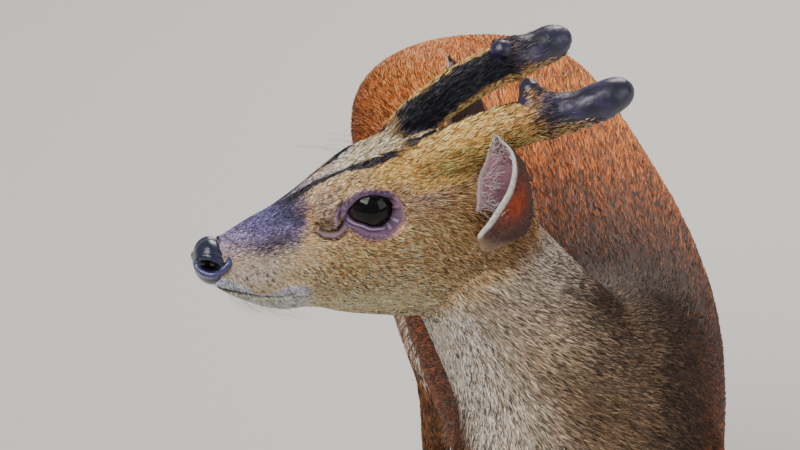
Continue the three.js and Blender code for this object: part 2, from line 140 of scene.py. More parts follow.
# %% [markdown]
# ## Meshes from arrays
# Every form is a closed tube of rings. Two small functions close its ends and put arrays into
# Blender, and a third joins several forms into one mesh.

# %% Tube, join and mesh helpers
def tube(rings):
    """Rings of points as a closed skin: two triangles for each square, and a fan at each end."""
    m, n = rings.shape[:2]
    points = np.concatenate([rings.reshape(-1, 3), rings[:1].mean(1), rings[-1:].mean(1)])
    r, k = np.meshgrid(np.arange(m - 1), np.arange(n), indexing="ij")
    a, b = r * n + k, r * n + (k + 1) % n
    walls = np.stack([a, b, a + n, b, b + n, a + n], -1).reshape(-1, 3)
    k = np.arange(n)
    first = np.stack([np.full(n, m * n), (k + 1) % n, k], -1)
    last = np.stack([np.full(n, m * n + 1), (m - 1) * n + k, (m - 1) * n + (k + 1) % n], -1)
    faces = np.concatenate([walls, first, last])
    a, b, c = points[faces[:, 0]], points[faces[:, 1]], points[faces[:, 2]]
    inside_out = np.einsum("ij,ij->i", a, np.cross(b, c)).sum() < 0
    return points, faces[:, ::-1] if inside_out else faces


def joined(parts):
    """Several (points, faces) pairs as one."""
    starts = np.cumsum([0] + [len(p) for p, _ in parts])
    return np.concatenate([p for p, _ in parts]), np.concatenate(
        [f + s for (_, f), s in zip(parts, starts)])


def make_mesh(name, points, faces, smooth=True):
    """A mesh object at the origin from points in mm and triangles."""
    mesh = bpy.data.meshes.new(name)
    mesh.vertices.add(len(points))
    mesh.vertices.foreach_set("co", (points / 1000).astype(np.float32).ravel())
    mesh.loops.add(faces.size)
    mesh.loops.foreach_set("vertex_index", faces.astype(np.int32).ravel())
    mesh.polygons.add(len(faces))
    mesh.polygons.foreach_set("loop_start", np.arange(0, faces.size, 3, dtype=np.int32))
    mesh.update(calc_edges=True)
    mesh.polygons.foreach_set("use_smooth", np.full(len(faces), smooth))
    piece = bpy.data.objects.new(name, mesh)
    bpy.context.scene.collection.objects.link(piece)
    return piece


def arrays_of(piece):
    """A mesh object's points in mm and its triangles, with its modifiers applied."""
    evaluated = piece.evaluated_get(bpy.context.evaluated_depsgraph_get())
    mesh = evaluated.to_mesh()
    points = np.empty(len(mesh.vertices) * 3, np.float32)
    mesh.vertices.foreach_get("co", points)
    mesh.calc_loop_triangles()
    faces = np.empty(len(mesh.loop_triangles) * 3, np.int32)
    mesh.loop_triangles.foreach_get("vertices", faces)
    evaluated.to_mesh_clear()
    return points.reshape(-1, 3).astype(float) * 1000, faces.reshape(-1, 3)


def paint(piece, name, colours):
    """A colour for each point, kept as an attribute that the material reads."""
    attribute = piece.data.color_attributes.new(name, "FLOAT_COLOR", "POINT")
    rgba = np.ones((len(piece.data.vertices), 4), np.float32)
    rgba[:, :3] = colours
    attribute.data.foreach_set("color", rgba.ravel())


def face_cross(points, faces):
    """The cross product of two sides of each triangle: its normal, twice as long as its area."""
    a, b, c = (points[faces[:, corner]] for corner in range(3))
    return np.cross(b - a, c - a)


def normals_of(points, faces):
    """The area-weighted normal of each point."""
    cross = face_cross(points, faces)
    total = np.zeros_like(points)
    for axis in range(3):
        for corner in range(3):
            total[:, axis] += np.bincount(faces[:, corner], cross[:, axis], len(points))
    return unit(total)


# %% [markdown]
# ## Trunk, neck and legs
# These are the same stations as in the solids, which reach to the tips of the coat, so each loft is
# sunk by the coat's depth. A loft of superellipses keeps the back broad and the belly round. The
# rows are few, so that each one can be read as a cross-section of the animal. For the trunk a row
# is x, y, top, bottom, half width and the share of the height where it is widest; for the rest it
# is a place, the half depth and the half width, and for the neck also its turn in degrees.

# %% Body lofts
RINGS = 72


def around(count=RINGS):
    """Even angles round a ring."""
    return np.linspace(0, 2 * np.pi, count, endpoint=False)


TRUNK = [
    [-12, -298, 378, 346, 14, 0.5],
    [-11, -291, 405, 318, 36, 0.5],
    [-9, -268, 448, 284, 58, 0.48],
    [-6, -225, 482, 262, 72, 0.47],
    [-1, -170, 492, 255, 84, 0.47],
    [5, -105, 488, 253, 92, 0.51],
    [6, -40, 485, 258, 98, 0.54],
    [1, 30, 491, 268, 101, 0.55],
    [-7, 95, 503, 283, 98, 0.54],
    [-17, 155, 511, 304, 95, 0.56],
    [-27, 210, 505, 334, 92, 0.57],
    [-34, 252, 480, 364, 76, 0.54],
    [-37, 277, 448, 392, 48, 0.5],
    [-38, 285, 432, 406, 16, 0.5],
]
NECK = [
    [-8, -178, 352, 92, 74, 0],
    [-15, -194, 390, 92, 76, 8],
    [-26, -201, 425, 80, 72, 22],
    [-40, -198, 458, 63, 59, 40],
    [-60, -193, 490, 53, 49, 58],
    [-78, -190, 520, 46, 42, 74],
    [-88, -188, 545, 41, 37, 84],
    [-92, -188, 560, 30, 26, 85],
]
FORELEG = [
    [40, -208, 440, 20, 10],
    [45, -210, 424, 38, 22],
    [51, -218, 380, 50, 28],
    [52, -218, 335, 49, 28],
    [50, -205, 290, 37, 25],
    [47, -196, 252, 25, 19.5],
    [45, -196, 210, 18, 15.5],
    [43, -199, 172, 15, 14],
    [42, -199, 155, 15, 14],
    [41.5, -197, 136, 11.5, 11.5],
    [41, -196, 105, 9.5, 9.5],
    [41, -196, 72, 9.5, 9.5],
    [41, -198, 50, 12.5, 12],
    [41, -205, 34, 11, 11],
    [41, -211, 20.3, 13, 14],
]
HINDLEG = [
    [38, 200, 462, 26, 14],
    [46, 202, 446, 52, 28],
    [51, 196, 408, 74, 37],
    [49, 189, 360, 78, 37],
    [44, 177, 312, 65, 31.5],
    [39, 171, 272, 47, 24],
    [35, 184, 238, 34, 18.5],
    [33, 206, 207, 27, 15],
    [31.5, 226, 180, 24, 12.5],
    [31, 233, 160, 20, 12],
    [31, 230, 138, 13.5, 10.5],
    [31, 223, 105, 10.5, 9.5],
    [31, 215, 72, 10.5, 9.5],
    [31, 208, 50, 13, 12],
    [31, 199, 34, 11, 11],
    [31, 193, 20.3, 13, 14],
]
TAIL = [
    [262, 455, 12, 17],
    [279, 447, 12, 20],
    [291, 424, 11, 21],
    [294, 394, 10, 21],
    [293, 362, 9, 19],
    [291, 334, 7, 14],
    [289, 312, 4.5, 8],
    [288, 302, 1.5, 3],
]
FORE_X, HIND_X, TAIL_X = -3, -20, -34
NECK_LINE, NECK_BACK = 352, -60
LEGS = {
    "foreleg_left": (FORELEG, FORE_X, 1),
    "foreleg_right": (FORELEG, FORE_X, -1),
    "hindleg_left": (HINDLEG, HIND_X, 1),
    "hindleg_right": (HINDLEG, HIND_X, -1),
}


def trunk_loft(depth):
    """Rings of two half superellipses, the back squarer than the belly, shrunk by the coat's depth."""
    x, y, top, bottom, half, level = spline(TRUNK, 90).T[:, :, None]
    mid = bottom + (top - bottom) * level
    angle = around()[None, :]
    back = np.sin(angle) > 0
    n = np.where(back, 2.3, 1.95)
    up = np.where(back, top - mid, mid - bottom) - depth
    side = (half - depth) * power(np.cos(angle), n)
    return np.stack([x + side, y + 0 * side, mid + up * power(np.sin(angle), n)], -1) + SHIFT


def neck_loft(depth):
    """Ellipses square to the neck's bent axis, turned as the throat turns to the animal's right."""
    rows = spline(NECK, 50)
    centres, deep, wide, turn = rows[:, :3], rows[:, 3:4], rows[:, 4:5], np.radians(rows[:, 5])
    axis = unit(np.gradient(centres, axis=0))
    throat = np.stack([-np.sin(turn), -np.cos(turn), 0 * turn], -1)
    throat = unit(throat - axis * (throat * axis).sum(1, keepdims=True))
    left = np.cross(axis, throat)
    c, s = np.cos(around())[None, :, None], np.sin(around())[None, :, None]
    return (centres[:, None] + throat[:, None] * (deep - depth)[:, None] * c
            + left[:, None] * (wide - depth)[:, None] * s) + SHIFT


def leg_loft(name, depth_top, depth_foot):
    """Level ellipses down the leg, with the coat's depth less towards the foot."""
    rows, middle, side = LEGS[name]
    lateral, y, z, long, wide = spline(rows, 110).T[:, :, None]
    depth = depth_foot + (depth_top - depth_foot) * ramp(z, 130, 300)
    x = middle + side * lateral + (wide - depth) * np.cos(around(48))
    return np.stack([x, y + (long - depth) * np.sin(around(48)), z + 0 * x], -1) + SHIFT


def tail_loft(depth):
    """Ellipses along the tail's own bend, broad from side to side."""
    y, z, deep, wide = spline(TAIL, 60).T[:, :, None]
    along = np.gradient(np.stack([y[:, 0], z[:, 0]], -1), axis=0)
    along = unit(along)[:, :, None]
    back = np.maximum(deep - depth, 0.6) * np.sin(around(32))
    x = TAIL_X + np.maximum(wide - depth, 0.8) * np.cos(around(32))
    return np.stack([x, y - along[:, 1] * back, z + along[:, 0] * back], -1) + SHIFT


# %% [markdown]
# ## The head's forms
# The head is a loft from lips to nape, with brow ridges, orbits, cheeks and lips swelling out of it.
# The pedicles are fur-covered stalks that carry the antlers, so they belong to the skin.

# %% Head lofts
# Each row: place along the head, top, bottom, level of the widest place, half width, and the powers
# of the superellipse above and below that level.
HEAD = [
    [95, -27, -38, -33, 5, 2, 2],
    [93, -20, -42, -33, 10, 2, 2],
    [87, -13.5, -46, -33, 14, 2.1, 2],
    [78, -9, -52, -34, 16.5, 2.1, 2],
    [67, -4, -58, -35, 18.5, 2.1, 1.9],
    [56, 0, -61.5, -35, 20.5, 2.1, 1.9],
    [45, 5, -62.5, -34, 23, 2.1, 1.9],
    [34, 10, -65, -31, 26.5, 2.1, 1.9],
    [22, 15, -70, -27, 30, 2.2, 1.9],
    [10, 19, -73.5, -24, 33, 2.3, 1.9],
    [-3, 22.5, -76.5, -22, 35.5, 2.4, 1.9],
    [-18, 27, -79.5, -21, 37.5, 2.4, 2],
    [-35, 28.5, -80, -20, 38.5, 2.3, 2],
    [-52, 28, -76, -20, 38, 2.2, 2],
    [-70, 23, -69, -22, 36, 2.1, 2],
    [-85, 11, -62, -25, 32, 2, 2],
    [-94, -6, -54, -30, 24, 2, 2],
    [-97, -20, -44, -32, 9, 2, 2],
]
HEAD_ROWS = spline(HEAD, 240)
LID_DOME = np.array([18.5, 17.4, 15.8])
SIDES = {"left": 1, "right": -1}
ANTLERS = {
    "left": {
        "pedicle": [[2, 12, 3, 7], [-14, 15, 9, 10], [-34, 20, 19, 12], [-56, 29, 29.5, 13],
                    [-78, 38.5, 38, 13.5], [-97, 44, 44, 13.6], [-108, 46.5, 45.5, 13.2]],
        "beam": [[-88, 41.6, 42.4, 10], [-99, 44.4, 44.2, 13], [-109, 46, 45, 12],
                 [-120, 48, 46.5, 11], [-131, 49.5, 49.5, 11], [-140, 49, 52, 10.4],
                 [-147, 48, 54, 7.6], [-150, 47.6, 55, 3.2]],
        "tine": [[-95, 41.6, 47, 11], [-95, 39.6, 52, 9.6], [-94.5, 37.2, 56.6, 7.2],
                 [-94, 35.3, 61, 5.7], [-93.8, 34.4, 64.4, 2.2]],
    },
    "right": {
        "pedicle": [[2, 12, 3, 7], [-12, 14, 12, 10.5], [-32, 20, 27, 12.5], [-56, 28, 38.5, 13],
                    [-80, 37, 46, 13], [-97, 42.5, 49.5, 13.2], [-108, 45, 52, 12.8]],
        "beam": [[-88, 40.4, 48, 9.6], [-99, 42.9, 50.2, 12.6], [-109, 44.8, 52, 11.8],
                 [-117, 46, 53.5, 11], [-125, 47, 55.5, 11], [-131, 47, 56.5, 9.8],
                 [-136, 46.6, 57, 6.8], [-138.5, 46.4, 57, 3]],
        "tine": [[-95, 40, 51, 10.6], [-95, 38, 54.6, 9.4], [-94.5, 35.4, 59, 7.6],
                 [-94, 33.4, 63, 6.2], [-93.8, 32.5, 66, 2.4]],
    },
}
BURR = -98
CROWN = 2.4
POLE = 0.02


def head_form(x, y, z):
    """Adds brow ridge, orbit, cheek and lip, and takes the hollow before the eye, as smooth hills."""
    side = np.abs(y)
    brow = 5.5 * hill(side, 16 + 0.12 * np.maximum(0, -x), 7) * hill(x, 2, 36) * (z > 0)
    brow = brow + CROWN * hill(side, 0, 9) * hill(x, 25, 15) * (z > 0)
    outward = (4 * hill(x, 1, 19) * hill(z, 2, 15) - 2.6 * hill(x, 31, 11) * hill(z, -6, 11)
               + 2.2 * hill(x, -8, 24) * hill(z, -30, 14) + 1.5 * hill(x, 47, 9) * hill(z, -47, 6))
    return np.stack([x + 0 * y, y + outward * y / (side + 4), z + brow], -1)


def head_loft(depth):
    """Superellipse rings from the lips to the nape in the head's frame."""
    x, top, bottom, level, half, above, below = HEAD_ROWS.T[:, :, None]
    angle = around(96)[None, :]
    upper = np.sin(angle) > 0
    n = np.where(upper, above, below)
    reach = np.maximum(np.where(upper, top - level, level - bottom) - depth, 1)
    y = np.maximum(half - depth, 1) * power(np.cos(angle), n)
    return from_head(head_form(x, y, level + reach * power(np.sin(angle), n)))


def stalk(rows, depth, mirror, rings=60, count=32):
    """Circles square to a path of x, y, z, radius in the head's frame."""
    path = spline(rows, rings)
    centres = path[:, :3] * [1, mirror, 1]
    axis = unit(np.gradient(centres, axis=0))
    side = unit(np.array([0, 1, 0]) - axis * axis[:, 1:2])
    up = np.cross(axis, side)
    radius = np.maximum(path[:, 3:] - depth, 0.8)[:, None]
    a = around(count)[None, :, None]
    return from_head(centres[:, None] + radius * (side[:, None] * np.cos(a) + up[:, None] * np.sin(a)))


def ellipsoid(centre, radii, rings=40, count=48):
    """A ball stretched to three radii, in the head's frame, with its poles at front and back."""
    polar = np.linspace(POLE, np.pi - POLE, rings)[:, None]
    a = around(count)[None, :]
    p = np.stack([np.cos(polar) + 0 * a, np.sin(polar) * np.cos(a), np.sin(polar) * np.sin(a)], -1)
    return from_head(p * radii + centre)


# %% [markdown]
# ## One skin for all the flesh
# The forms overlap, and a voxel remesh welds them into one surface, as clay would be pressed
# together. It could also be done by booleans, but those leave sharp creases where a leg meets the
# trunk. After it, a few rounds of averaging with the neighbours soften the joins: many rounds on the
# body, few on the face.

# %% Weld the forms
VOXEL = 1.35
BODY_COAT, FACE_COAT = 4.0, 1.3
forms = [tube(trunk_loft(BODY_COAT)), tube(neck_loft(BODY_COAT - 0.5)), tube(head_loft(FACE_COAT)),
         tube(tail_loft(4.5))]
forms += [tube(leg_loft(name, BODY_COAT - 0.5, 1.2)) for name in LEGS]
for side, mirror in SIDES.items():
    forms.append(tube(ellipsoid(EYE_AT * [1, mirror, 1], LID_DOME - 0.9)))
    short = [row for row in ANTLERS[side]["pedicle"] if row[0] > BURR]
    forms.append(tube(stalk(short, 1.8, mirror)))
clay = make_mesh("clay", *joined(forms))
weld = clay.modifiers.new("weld", "REMESH")
weld.mode = "VOXEL"
weld.voxel_size = VOXEL / 1000
skin_points, skin_faces = arrays_of(clay)
bpy.data.objects.remove(clay)
print("welded skin:", len(skin_points), "points,", len(skin_faces), "triangles")

# %% Soften the joins
def edges_of(faces):
    """Each edge of the triangles once."""
    pairs = np.sort(np.concatenate([faces[:, [0, 1]], faces[:, [1, 2]], faces[:, [2, 0]]]), axis=1)
    keys = np.unique(pairs[:, 0].astype(np.int64) * (1 << 32) + pairs[:, 1])
    return np.stack([keys >> 32, keys & 0xFFFFFFFF], -1)


def soften(points, faces, strength, rounds):
    """Moves each point towards the mean of its neighbours, by its own strength, in each round."""
    a, b = edges_of(faces).T
    count = np.bincount(a, minlength=len(points)) + np.bincount(b, minlength=len(points))
    for _ in range(rounds):
        for axis in range(3):
            x = points[:, axis]
            near = np.bincount(a, x[b], len(x)) + np.bincount(b, x[a], len(x))
            points[:, axis] = x + strength * (near / count - x)
    return points


def head_height(points):
    """How far points lie above the plane from throat to nape that divides head from neck, in mm."""
    q = to_head(points)
    a, b = np.array([-8, -79]), np.array([-100, -36])
    along = (b - a) / np.linalg.norm(b - a)
    return (q[:, 0] - a[0]) * along[1] - (q[:, 2] - a[1]) * along[0]


in_head = ramp(head_height(skin_points), -25, 10)
skin_points = soften(skin_points, skin_faces, 0.55, 4)
skin_points = soften(skin_points, skin_faces, 0.6 * (1 - in_head), 40)
print("softened; share of points in the head:", round(float((in_head > 0.5).mean()), 2))

# %% [markdown]
# ## Folds of the face
# Details finer than the weld are pressed into it by moving points along their normals: the line of
# the mouth, the seat of the nose pad and the sockets. A sculptor would use a knife and a loop tool;
# here each stroke is a path in the head's side view and a hill across it. The skin round the eye
# sinks a little, because a finer sheet with lids and gland comes to lie over it.

# %% Strokes on the face
MOUTH_LINE = [[100, -38.5], [92, -40.5], [80, -43.5], [68, -47.5], [56, -48.8], [46, -45.6]]
GLAND_LINE = [[14.6, -2.2], [16.6, -5.3], [18.6, -7.8], [21, -9.9], [24.8, -10.7], [28.8, -9.6],
              [31.2, -7]]
GLAND_FOLD = [[16.4, -7.4], [19.2, -10.8], [23.2, -13.1], [27.9, -12.8], [31, -10.6]]
GLAND_RIDGE = [[15.8, 2.6], [19, 0.4], [20.9, -3], [21.8, -7.4]]
NOSE_CENTRE, NOSE_RADII = np.array([91.5, 0, -27]), np.array([11.3, 14, 13.6])
NOSE_SEAT = 6.5
SOCKET_RADIUS = 12.6


def closed_curve(rows):
    """A closed outline from rows of angle in degrees and reach in mm, smoothed to its first waves."""
    angle, reach = np.asarray(rows, float).T
    wave = np.fft.rfft(np.interp(np.arange(360), angle, reach, period=360))
    wave[8:] = 0
    return np.fft.irfft(wave, 360)


LID_EDGE = closed_curve([[-22, 11.8], [-10, 15], [4, 14], [18, 12.7], [50, 11], [88, 9.9], [126, 9.9],
                         [162, 11], [193, 12.5], [222, 12.6], [243, 10.9], [266, 9.3], [311, 8.8]])
BARE_EDGE = closed_curve([[-28, 17.2], [4, 18.8], [27, 14.7], [56, 13], [83, 12], [114, 12], [143, 13.4],
                          [165, 15], [184, 16.4], [199, 17], [219, 17], [241, 16.4], [265, 16.4],
                          [307, 16.4]])
SHEET_EDGE = closed_curve([[0, 34], [15, 26], [35, 20.5], [60, 17.5], [90, 16.5], [120, 16.5],
                           [150, 18.5], [175, 21], [200, 22], [225, 21.5], [255, 21], [285, 21.5],
                           [305, 24], [320, 29.5], [335, 36], [350, 37.5]])


def around_eye(x, z, curve):
    """How far out a place of the side view lies from the eye, as a share of an outline's reach."""
    angle = np.degrees(np.arctan2(z, x))
    return np.hypot(x, z) / np.interp(angle, np.arange(360), curve, period=360)


def near_eye(x, y, past=14):
    """True on the sides of the head near an eye, further out from the middle than a given place."""
    return (np.abs(y) > past) & (np.abs(x) < 42)


def stroke(x, z, path):
    """The distance of points of the side view from a path of straight pieces, and the way along it."""
    path = np.asarray(path, float)
    nearest, along = np.full(x.shape, 1e9), np.zeros(x.shape)
    for i, (a, b) in enumerate(zip(path[:-1], path[1:])):
        t = np.clip(((x - a[0]) * (b - a)[0] + (z - a[1]) * (b - a)[1]) / ((b - a) ** 2).sum(), 0, 1)
        gap = np.hypot(x - a[0] - t * (b - a)[0], z - a[1] - t * (b - a)[1])
        along = np.where(gap < nearest, (i + t) / (len(path) - 1), along)
        nearest = np.minimum(nearest, gap)
    return nearest, along


def press_face(points, faces):
    """Moves the face's points along their normals by the depth of each stroke, then opens the sockets."""
    chosen = head_height(points) > 0
    q = to_head(points[chosen])
    x, y, z = q.T
    outer = np.abs(y) > 4
    mouth, along = stroke(x, z, MOUTH_LINE)
    depth = -1.9 * hill(mouth, 0, 1.2) * (1 - 0.6 * along) * (x > 44)
    depth += 0.8 * hill(mouth, 3.4, 1.8) * (x > 50) * (1 - along)
    depth += 0.9 * hill(x, 44, 5) * hill(z, -45, 4) * outer
    depth -= 1.6 * ramp(around_eye(x, z, SHEET_EDGE), 0.97, 0.89) * (np.abs(y) > 10)
    pad = np.linalg.norm((q - NOSE_CENTRE) / NOSE_RADII, axis=1)
    depth -= NOSE_SEAT * ramp(pad, 0.97, 0.8)
    moved = points[chosen] + normals_of(points, faces)[chosen] * depth[:, None]
    q = to_head(moved)
    for mirror in SIDES.values():
        ball = q - EYE_AT * [1, mirror, 1]
        opening = ramp(around_eye(ball[:, 0], ball[:, 2], LID_EDGE), 1.2, 1.05)
        opening = opening * (ball[:, 1] * mirror > 3)
        radius = np.linalg.norm(ball, axis=1)
        shrink = 1 - opening * (1 - SOCKET_RADIUS / np.maximum(radius, SOCKET_RADIUS))
        q = np.where((opening > 0)[:, None], EYE_AT * [1, mirror, 1] + ball * shrink[:, None], q)
    result = points.copy()
    result[chosen] = from_head(q)
    return result


plain_points, plain_faces = skin_points, skin_faces
skin_points = press_face(skin_points, skin_faces)
print("face pressed:", int((head_height(skin_points) > 0).sum()), "points")

# %% [markdown]
# ## Fewer faces where the form is plain
# The face needs its fine mesh, but flank and legs don't. A weighted collapse thins the body and
# leaves the head almost as it is, so that the skin stays one mesh of a moderate size.

# %% Thin the body
SKIN_TRIANGLES = 132_000
dense = make_mesh("dense", skin_points, skin_faces)
body_group = dense.vertex_groups.new(name="body")
levels = np.round(ramp(head_height(skin_points), 12, -60), 1)
for level in np.unique(levels[levels > 0]):
    body_group.add(np.nonzero(levels == level)[0].tolist(), float(level), "REPLACE")
thin = dense.modifiers.new("thin", "DECIMATE")
thin.ratio = SKIN_TRIANGLES / len(skin_faces)
thin.vertex_group = "body"
skin_points, skin_faces = arrays_of(dense)
bpy.data.objects.remove(dense)
print("thinned skin:", len(skin_faces), "triangles, of which in the head:",
      int((head_height(skin_points[skin_faces[:, 0]]) > 0).sum()))

# %% [markdown]
# ## Ears
# An ear is a leaf rolled into a cup. Each cross-section is part of an ellipse from the outer rim
# round the back to the inner rim; the ear is the stack of them from root to tip, with an outer and
# a hollow face. It is far thinner than the weld could hold, so it is made on its own grid and joins
# the skin as a second shell, sunk into the head at its root.

# %% Ear shells
EAR = [
    [-57, 35, -30, -72, 24, -30, -60, 30, -22, 62],
    [-56, 42, -21, -84, 35, -25, -57, 34, -12, 48],
    [-62, 46, -13, -87.5, 41, -17, -58, 36, -4, 34],
    [-68, 51, -3, -88, 45, -8, -58.5, 38, 4, 22],
    [-74, 57, 9, -86, 48.5, 2, -59.5, 42, 14, 12],
    [-77, 62, 22, -83.5, 53, 15, -62, 48, 23, 6],
    [-76, 64, 34, -79, 59, 28, -64.5, 54, 33, 2],
    [-71, 64.5, 42, -72.5, 62.5, 39, -66.3, 60, 41, 0],
    [-67.6, 64.8, 46, -68.3, 64.3, 45.6, -66.8, 63.8, 45.8, 0],
]
EAR_ALONG, EAR_ACROSS = 80, 44
EAR_BACK, EAR_HOLLOW = 0.4, 1.6
FAR_EAR_RISE = 6


def ear_layer(inset, mirror):
    """One face of an ear: along it from root to tip, and across it from outer to inner rim."""
    rows = spline(EAR, EAR_ALONG)
    outer, back, inner = rows[:, 0:3], rows[:, 3:6], rows[:, 6:9]
    roll = np.radians(rows[:, 9:10])
    middle = (outer + inner) / 2
    chord = (outer - inner) / (2 * np.cos(roll))
    deep = (back - middle) / (1 + np.sin(roll))
    centre = middle + deep * np.sin(roll)
    shrunk = [v * np.maximum(0.15, 1 - inset / np.linalg.norm(v, axis=1, keepdims=True))
              for v in (chord, deep)]
    v = np.linspace(0, 1, EAR_ACROSS)[None, :, None]
    angle = -roll[:, None] + (np.pi + 2 * roll[:, None]) * v
    layer = centre[:, None] + shrunk[0][:, None] * np.cos(angle) + shrunk[1][:, None] * np.sin(angle)
    layer[..., 2] += FAR_EAR_RISE * ramp(layer[..., 2], 0, 45) * (mirror < 0)
    return layer * [1, mirror, 1]


def ear_rings(mirror):
    """Both faces of an ear as rings that run over the outer face and back over the hollow one."""
    faces = [ear_layer(EAR_BACK, mirror), ear_layer(EAR_HOLLOW, mirror)[:, ::-1]]
    return from_head(np.concatenate(faces, axis=1))


# %% [markdown]
# ## Lids and gland
# The lids are bare and hug the eyeball, and in front of each eye lies the slit of a scent gland
# under a soft lobe. Both are finer than the weld, so they are a sheet of their own: the way round
# the eye is one parameter and the distance from the lid's edge is the other. The sheet rises from
# the ball, rolls over a thick edge, runs along the skin with its folds, and dives under the fur.

# %% Orbit sheets
SHEET_ROUND, SHEET_WIDE = 180, 50
LID_RADIUS = 15.4
EVEN_ROUNDS = 60


def gland_gaps(x, z):
    """How far points of the side view lie from the gland's slit, its fold and its ridge."""
    return [stroke(x, z, path)[0] for path in (GLAND_LINE, GLAND_FOLD, GLAND_RIDGE)]


def orbit_sheet(mirror):
    """Rays from the eye to the sheet's outline; their height is the ball's, then the plain skin's."""
    angle = around(SHEET_ROUND)[:, None]
    inner, outer = (np.interp(np.degrees(angle), np.arange(360), curve, period=360)
                    for curve in (0.96 * LID_EDGE, SHEET_EDGE))
    grow = np.linspace(0, 1, SHEET_WIDE)[None, :] ** 1.25
    reach = inner + (outer - inner) * grow
    x, z = reach * np.cos(angle), reach * np.sin(angle)
    e = around_eye(x, z, LID_EDGE)
    rays = np.stack([x, 0 * x + 70 * mirror, z], -1).reshape(-1, 3)
    towards = Vector((from_head([[0, -mirror, 0]]) - from_head([[0, 0, 0]]))[0])
    hits = [SKIN_TREE.ray_cast(Vector(ray), towards)[0] for ray in from_head(rays)]
    head = np.array([to_head([hit])[0, 1] * mirror for hit in hits]).reshape(x.shape)
    even = head
    for _ in range(EVEN_ROUNDS):
        even = (np.roll(even, 2, 0) + np.roll(even, -2, 0) + 2 * even) / 4
    head = even + (head - even) * ramp(grow, 0.3, 0.75)
    edge = LID_RADIUS + 1.3 * ramp(e, 0.96, 1.07) - 0.45 * hill(e, 1.22, 0.05) * ramp(z, -3, 3)
    ball = EYE_AT[1] + np.sqrt(np.maximum(edge**2 - x**2 - z**2, 0))
    y = ball + (head - ball) * ramp(e, 1.08, 1.55)
    y = y + 0.9 * hill(e, 1.16, 0.1) * ramp(z, 3, -3) - 0.5 * hill(e, 1.36, 0.07)
    slit, fold, ridge = gland_gaps(x, z)
    lobe = np.hypot((x - 26) / 5.4, (z + 4.8) / 4.2)
    y = y - 3.2 * hill(slit, 0, 1.0) * ramp(x, 13, 17) + 2.2 * hill(lobe, 0, 1) + 1.4 * hill(ridge, 0, 1.3)
    y = y + 1.4 * hill(fold, 0, 1.2) - 1.3 * hill(fold, 2.8, 1.1) * ramp(z, -10, -12)
    y = y - 2.2 * ramp(grow, 0.93, 1)
    points = from_head(np.stack([x, y * mirror, z], -1)).reshape(-1, 3)
    r, k = np.meshgrid(np.arange(SHEET_ROUND), np.arange(SHEET_WIDE - 1), indexing="ij")
    p, q = r * SHEET_WIDE + k, (r + 1) % SHEET_ROUND * SHEET_WIDE + k
    faces = np.stack([p, q, p + 1, q, q + 1, p + 1], -1).reshape(-1, 3)
    return points, faces if mirror > 0 else faces[:, ::-1]


SKIN_TREE = BVHTree.FromPolygons(plain_points.tolist(), plain_faces.tolist())
WELD_COUNT = len(skin_points)
shells = [tube(ear_rings(mirror)) for mirror in SIDES.values()]
shells += [orbit_sheet(mirror) for mirror in SIDES.values()]
skin_points, skin_faces = joined([(skin_points, skin_faces)] + shells)
shell_of = np.repeat(range(5), [WELD_COUNT] + [len(points) for points, _ in shells])
skin = make_mesh("skin", skin_points, skin_faces)
print("skin with ears and lids:", len(skin_faces), "triangles")

# %% [markdown]
# ## Colours by place
# The animal's colours pass softly into each other, so they are worked out for each point of a mesh
# and kept as an attribute. Colours are hex values as a painter would mix them, turned to linear by
# one function, and another lays one over the rest by a weight.

# %% Colours by place
def linear(hex_colour):
    """An sRGB hex colour as linear red, green and blue."""
    value = np.array([int(hex_colour[i:i + 2], 16) for i in (1, 3, 5)]) / 255
    return np.where(value <= 0.04045, value / 12.92, ((value + 0.055) / 1.055) ** 2.4)


def lay(ground, hex_colour, weight):
    """Lays a colour over the ground by a weight from 0 to 1 for each point."""
    return ground + (linear(hex_colour) - ground) * np.clip(weight, 0, 1)[:, None]


def one_colour(hex_colour, count):
    """The same colour for each of count points."""
    return np.tile(linear(hex_colour), (count, 1))


# %% [markdown]
# ## Eyes and nose pad
# An eyeball is a sphere with the clear cornea swelling out of it. The nose pad is an ellipsoid into
# which the comma-shaped nostrils and the cleft above the lip are pressed, with a raised rim.

# %% Eyes and nose
def radial(centre, radii, push, rings=110, count=150, pole=0):
    """An ellipsoid in the head's frame; push(directions) gives how far each point moves outwards."""
    polar = np.linspace(0.012, np.pi - 0.012, rings)[:, None]
    a = around(count)[None, :]
    d = np.stack([np.cos(polar) + 0 * a, np.sin(polar) * np.cos(a), np.sin(polar) * np.sin(a)], -1)
    d = np.roll(d, pole, axis=-1)
    points = d * radii + centre
    return tube(from_head(points + unit(d / radii) * push(points, d)[..., None]))


def cornea(points, d):
    """A swelling of 1 mm over the middle of the ball's outer side, falling off by 36 degrees."""
    return 1.0 * hill(np.degrees(np.arccos(np.clip(np.abs(d[..., 1]), 0, 1))), 0, 36)


EYEBALL_RADIUS = 14.9
NOSTRIL_AT, NOSTRIL_SIZE, NOSTRIL_TILT = (94, -24.6), (6.3, 3.3), math.radians(-11)
NOSTRIL_RIM = [[101, -24], [99.6, -27.2], [97.2, -29.2], [94, -29.9], [90.6, -29.5], [86.6, -27.6]]
RIM_TAIL = [[94, 12.2, -29.6, 0.8], [90, 13, -29.2, 1.9], [86.8, 13.6, -27.6, 2.3],
            [84, 13.6, -25.6, 2.2], [82.6, 12.8, -23.4, 1.6], [82.4, 11.4, -21.6, 0.7]]


def nostril(x, z):
    """A tilted, bent oval in the side view: the share of its reach, and the height over its middle."""
    a, b = x - NOSTRIL_AT[0], z - NOSTRIL_AT[1]
    level = b * math.cos(NOSTRIL_TILT) - a * math.sin(-NOSTRIL_TILT)
    return np.hypot(a / NOSTRIL_SIZE[0], (level + 0.02 * a**2) / NOSTRIL_SIZE[1]), level


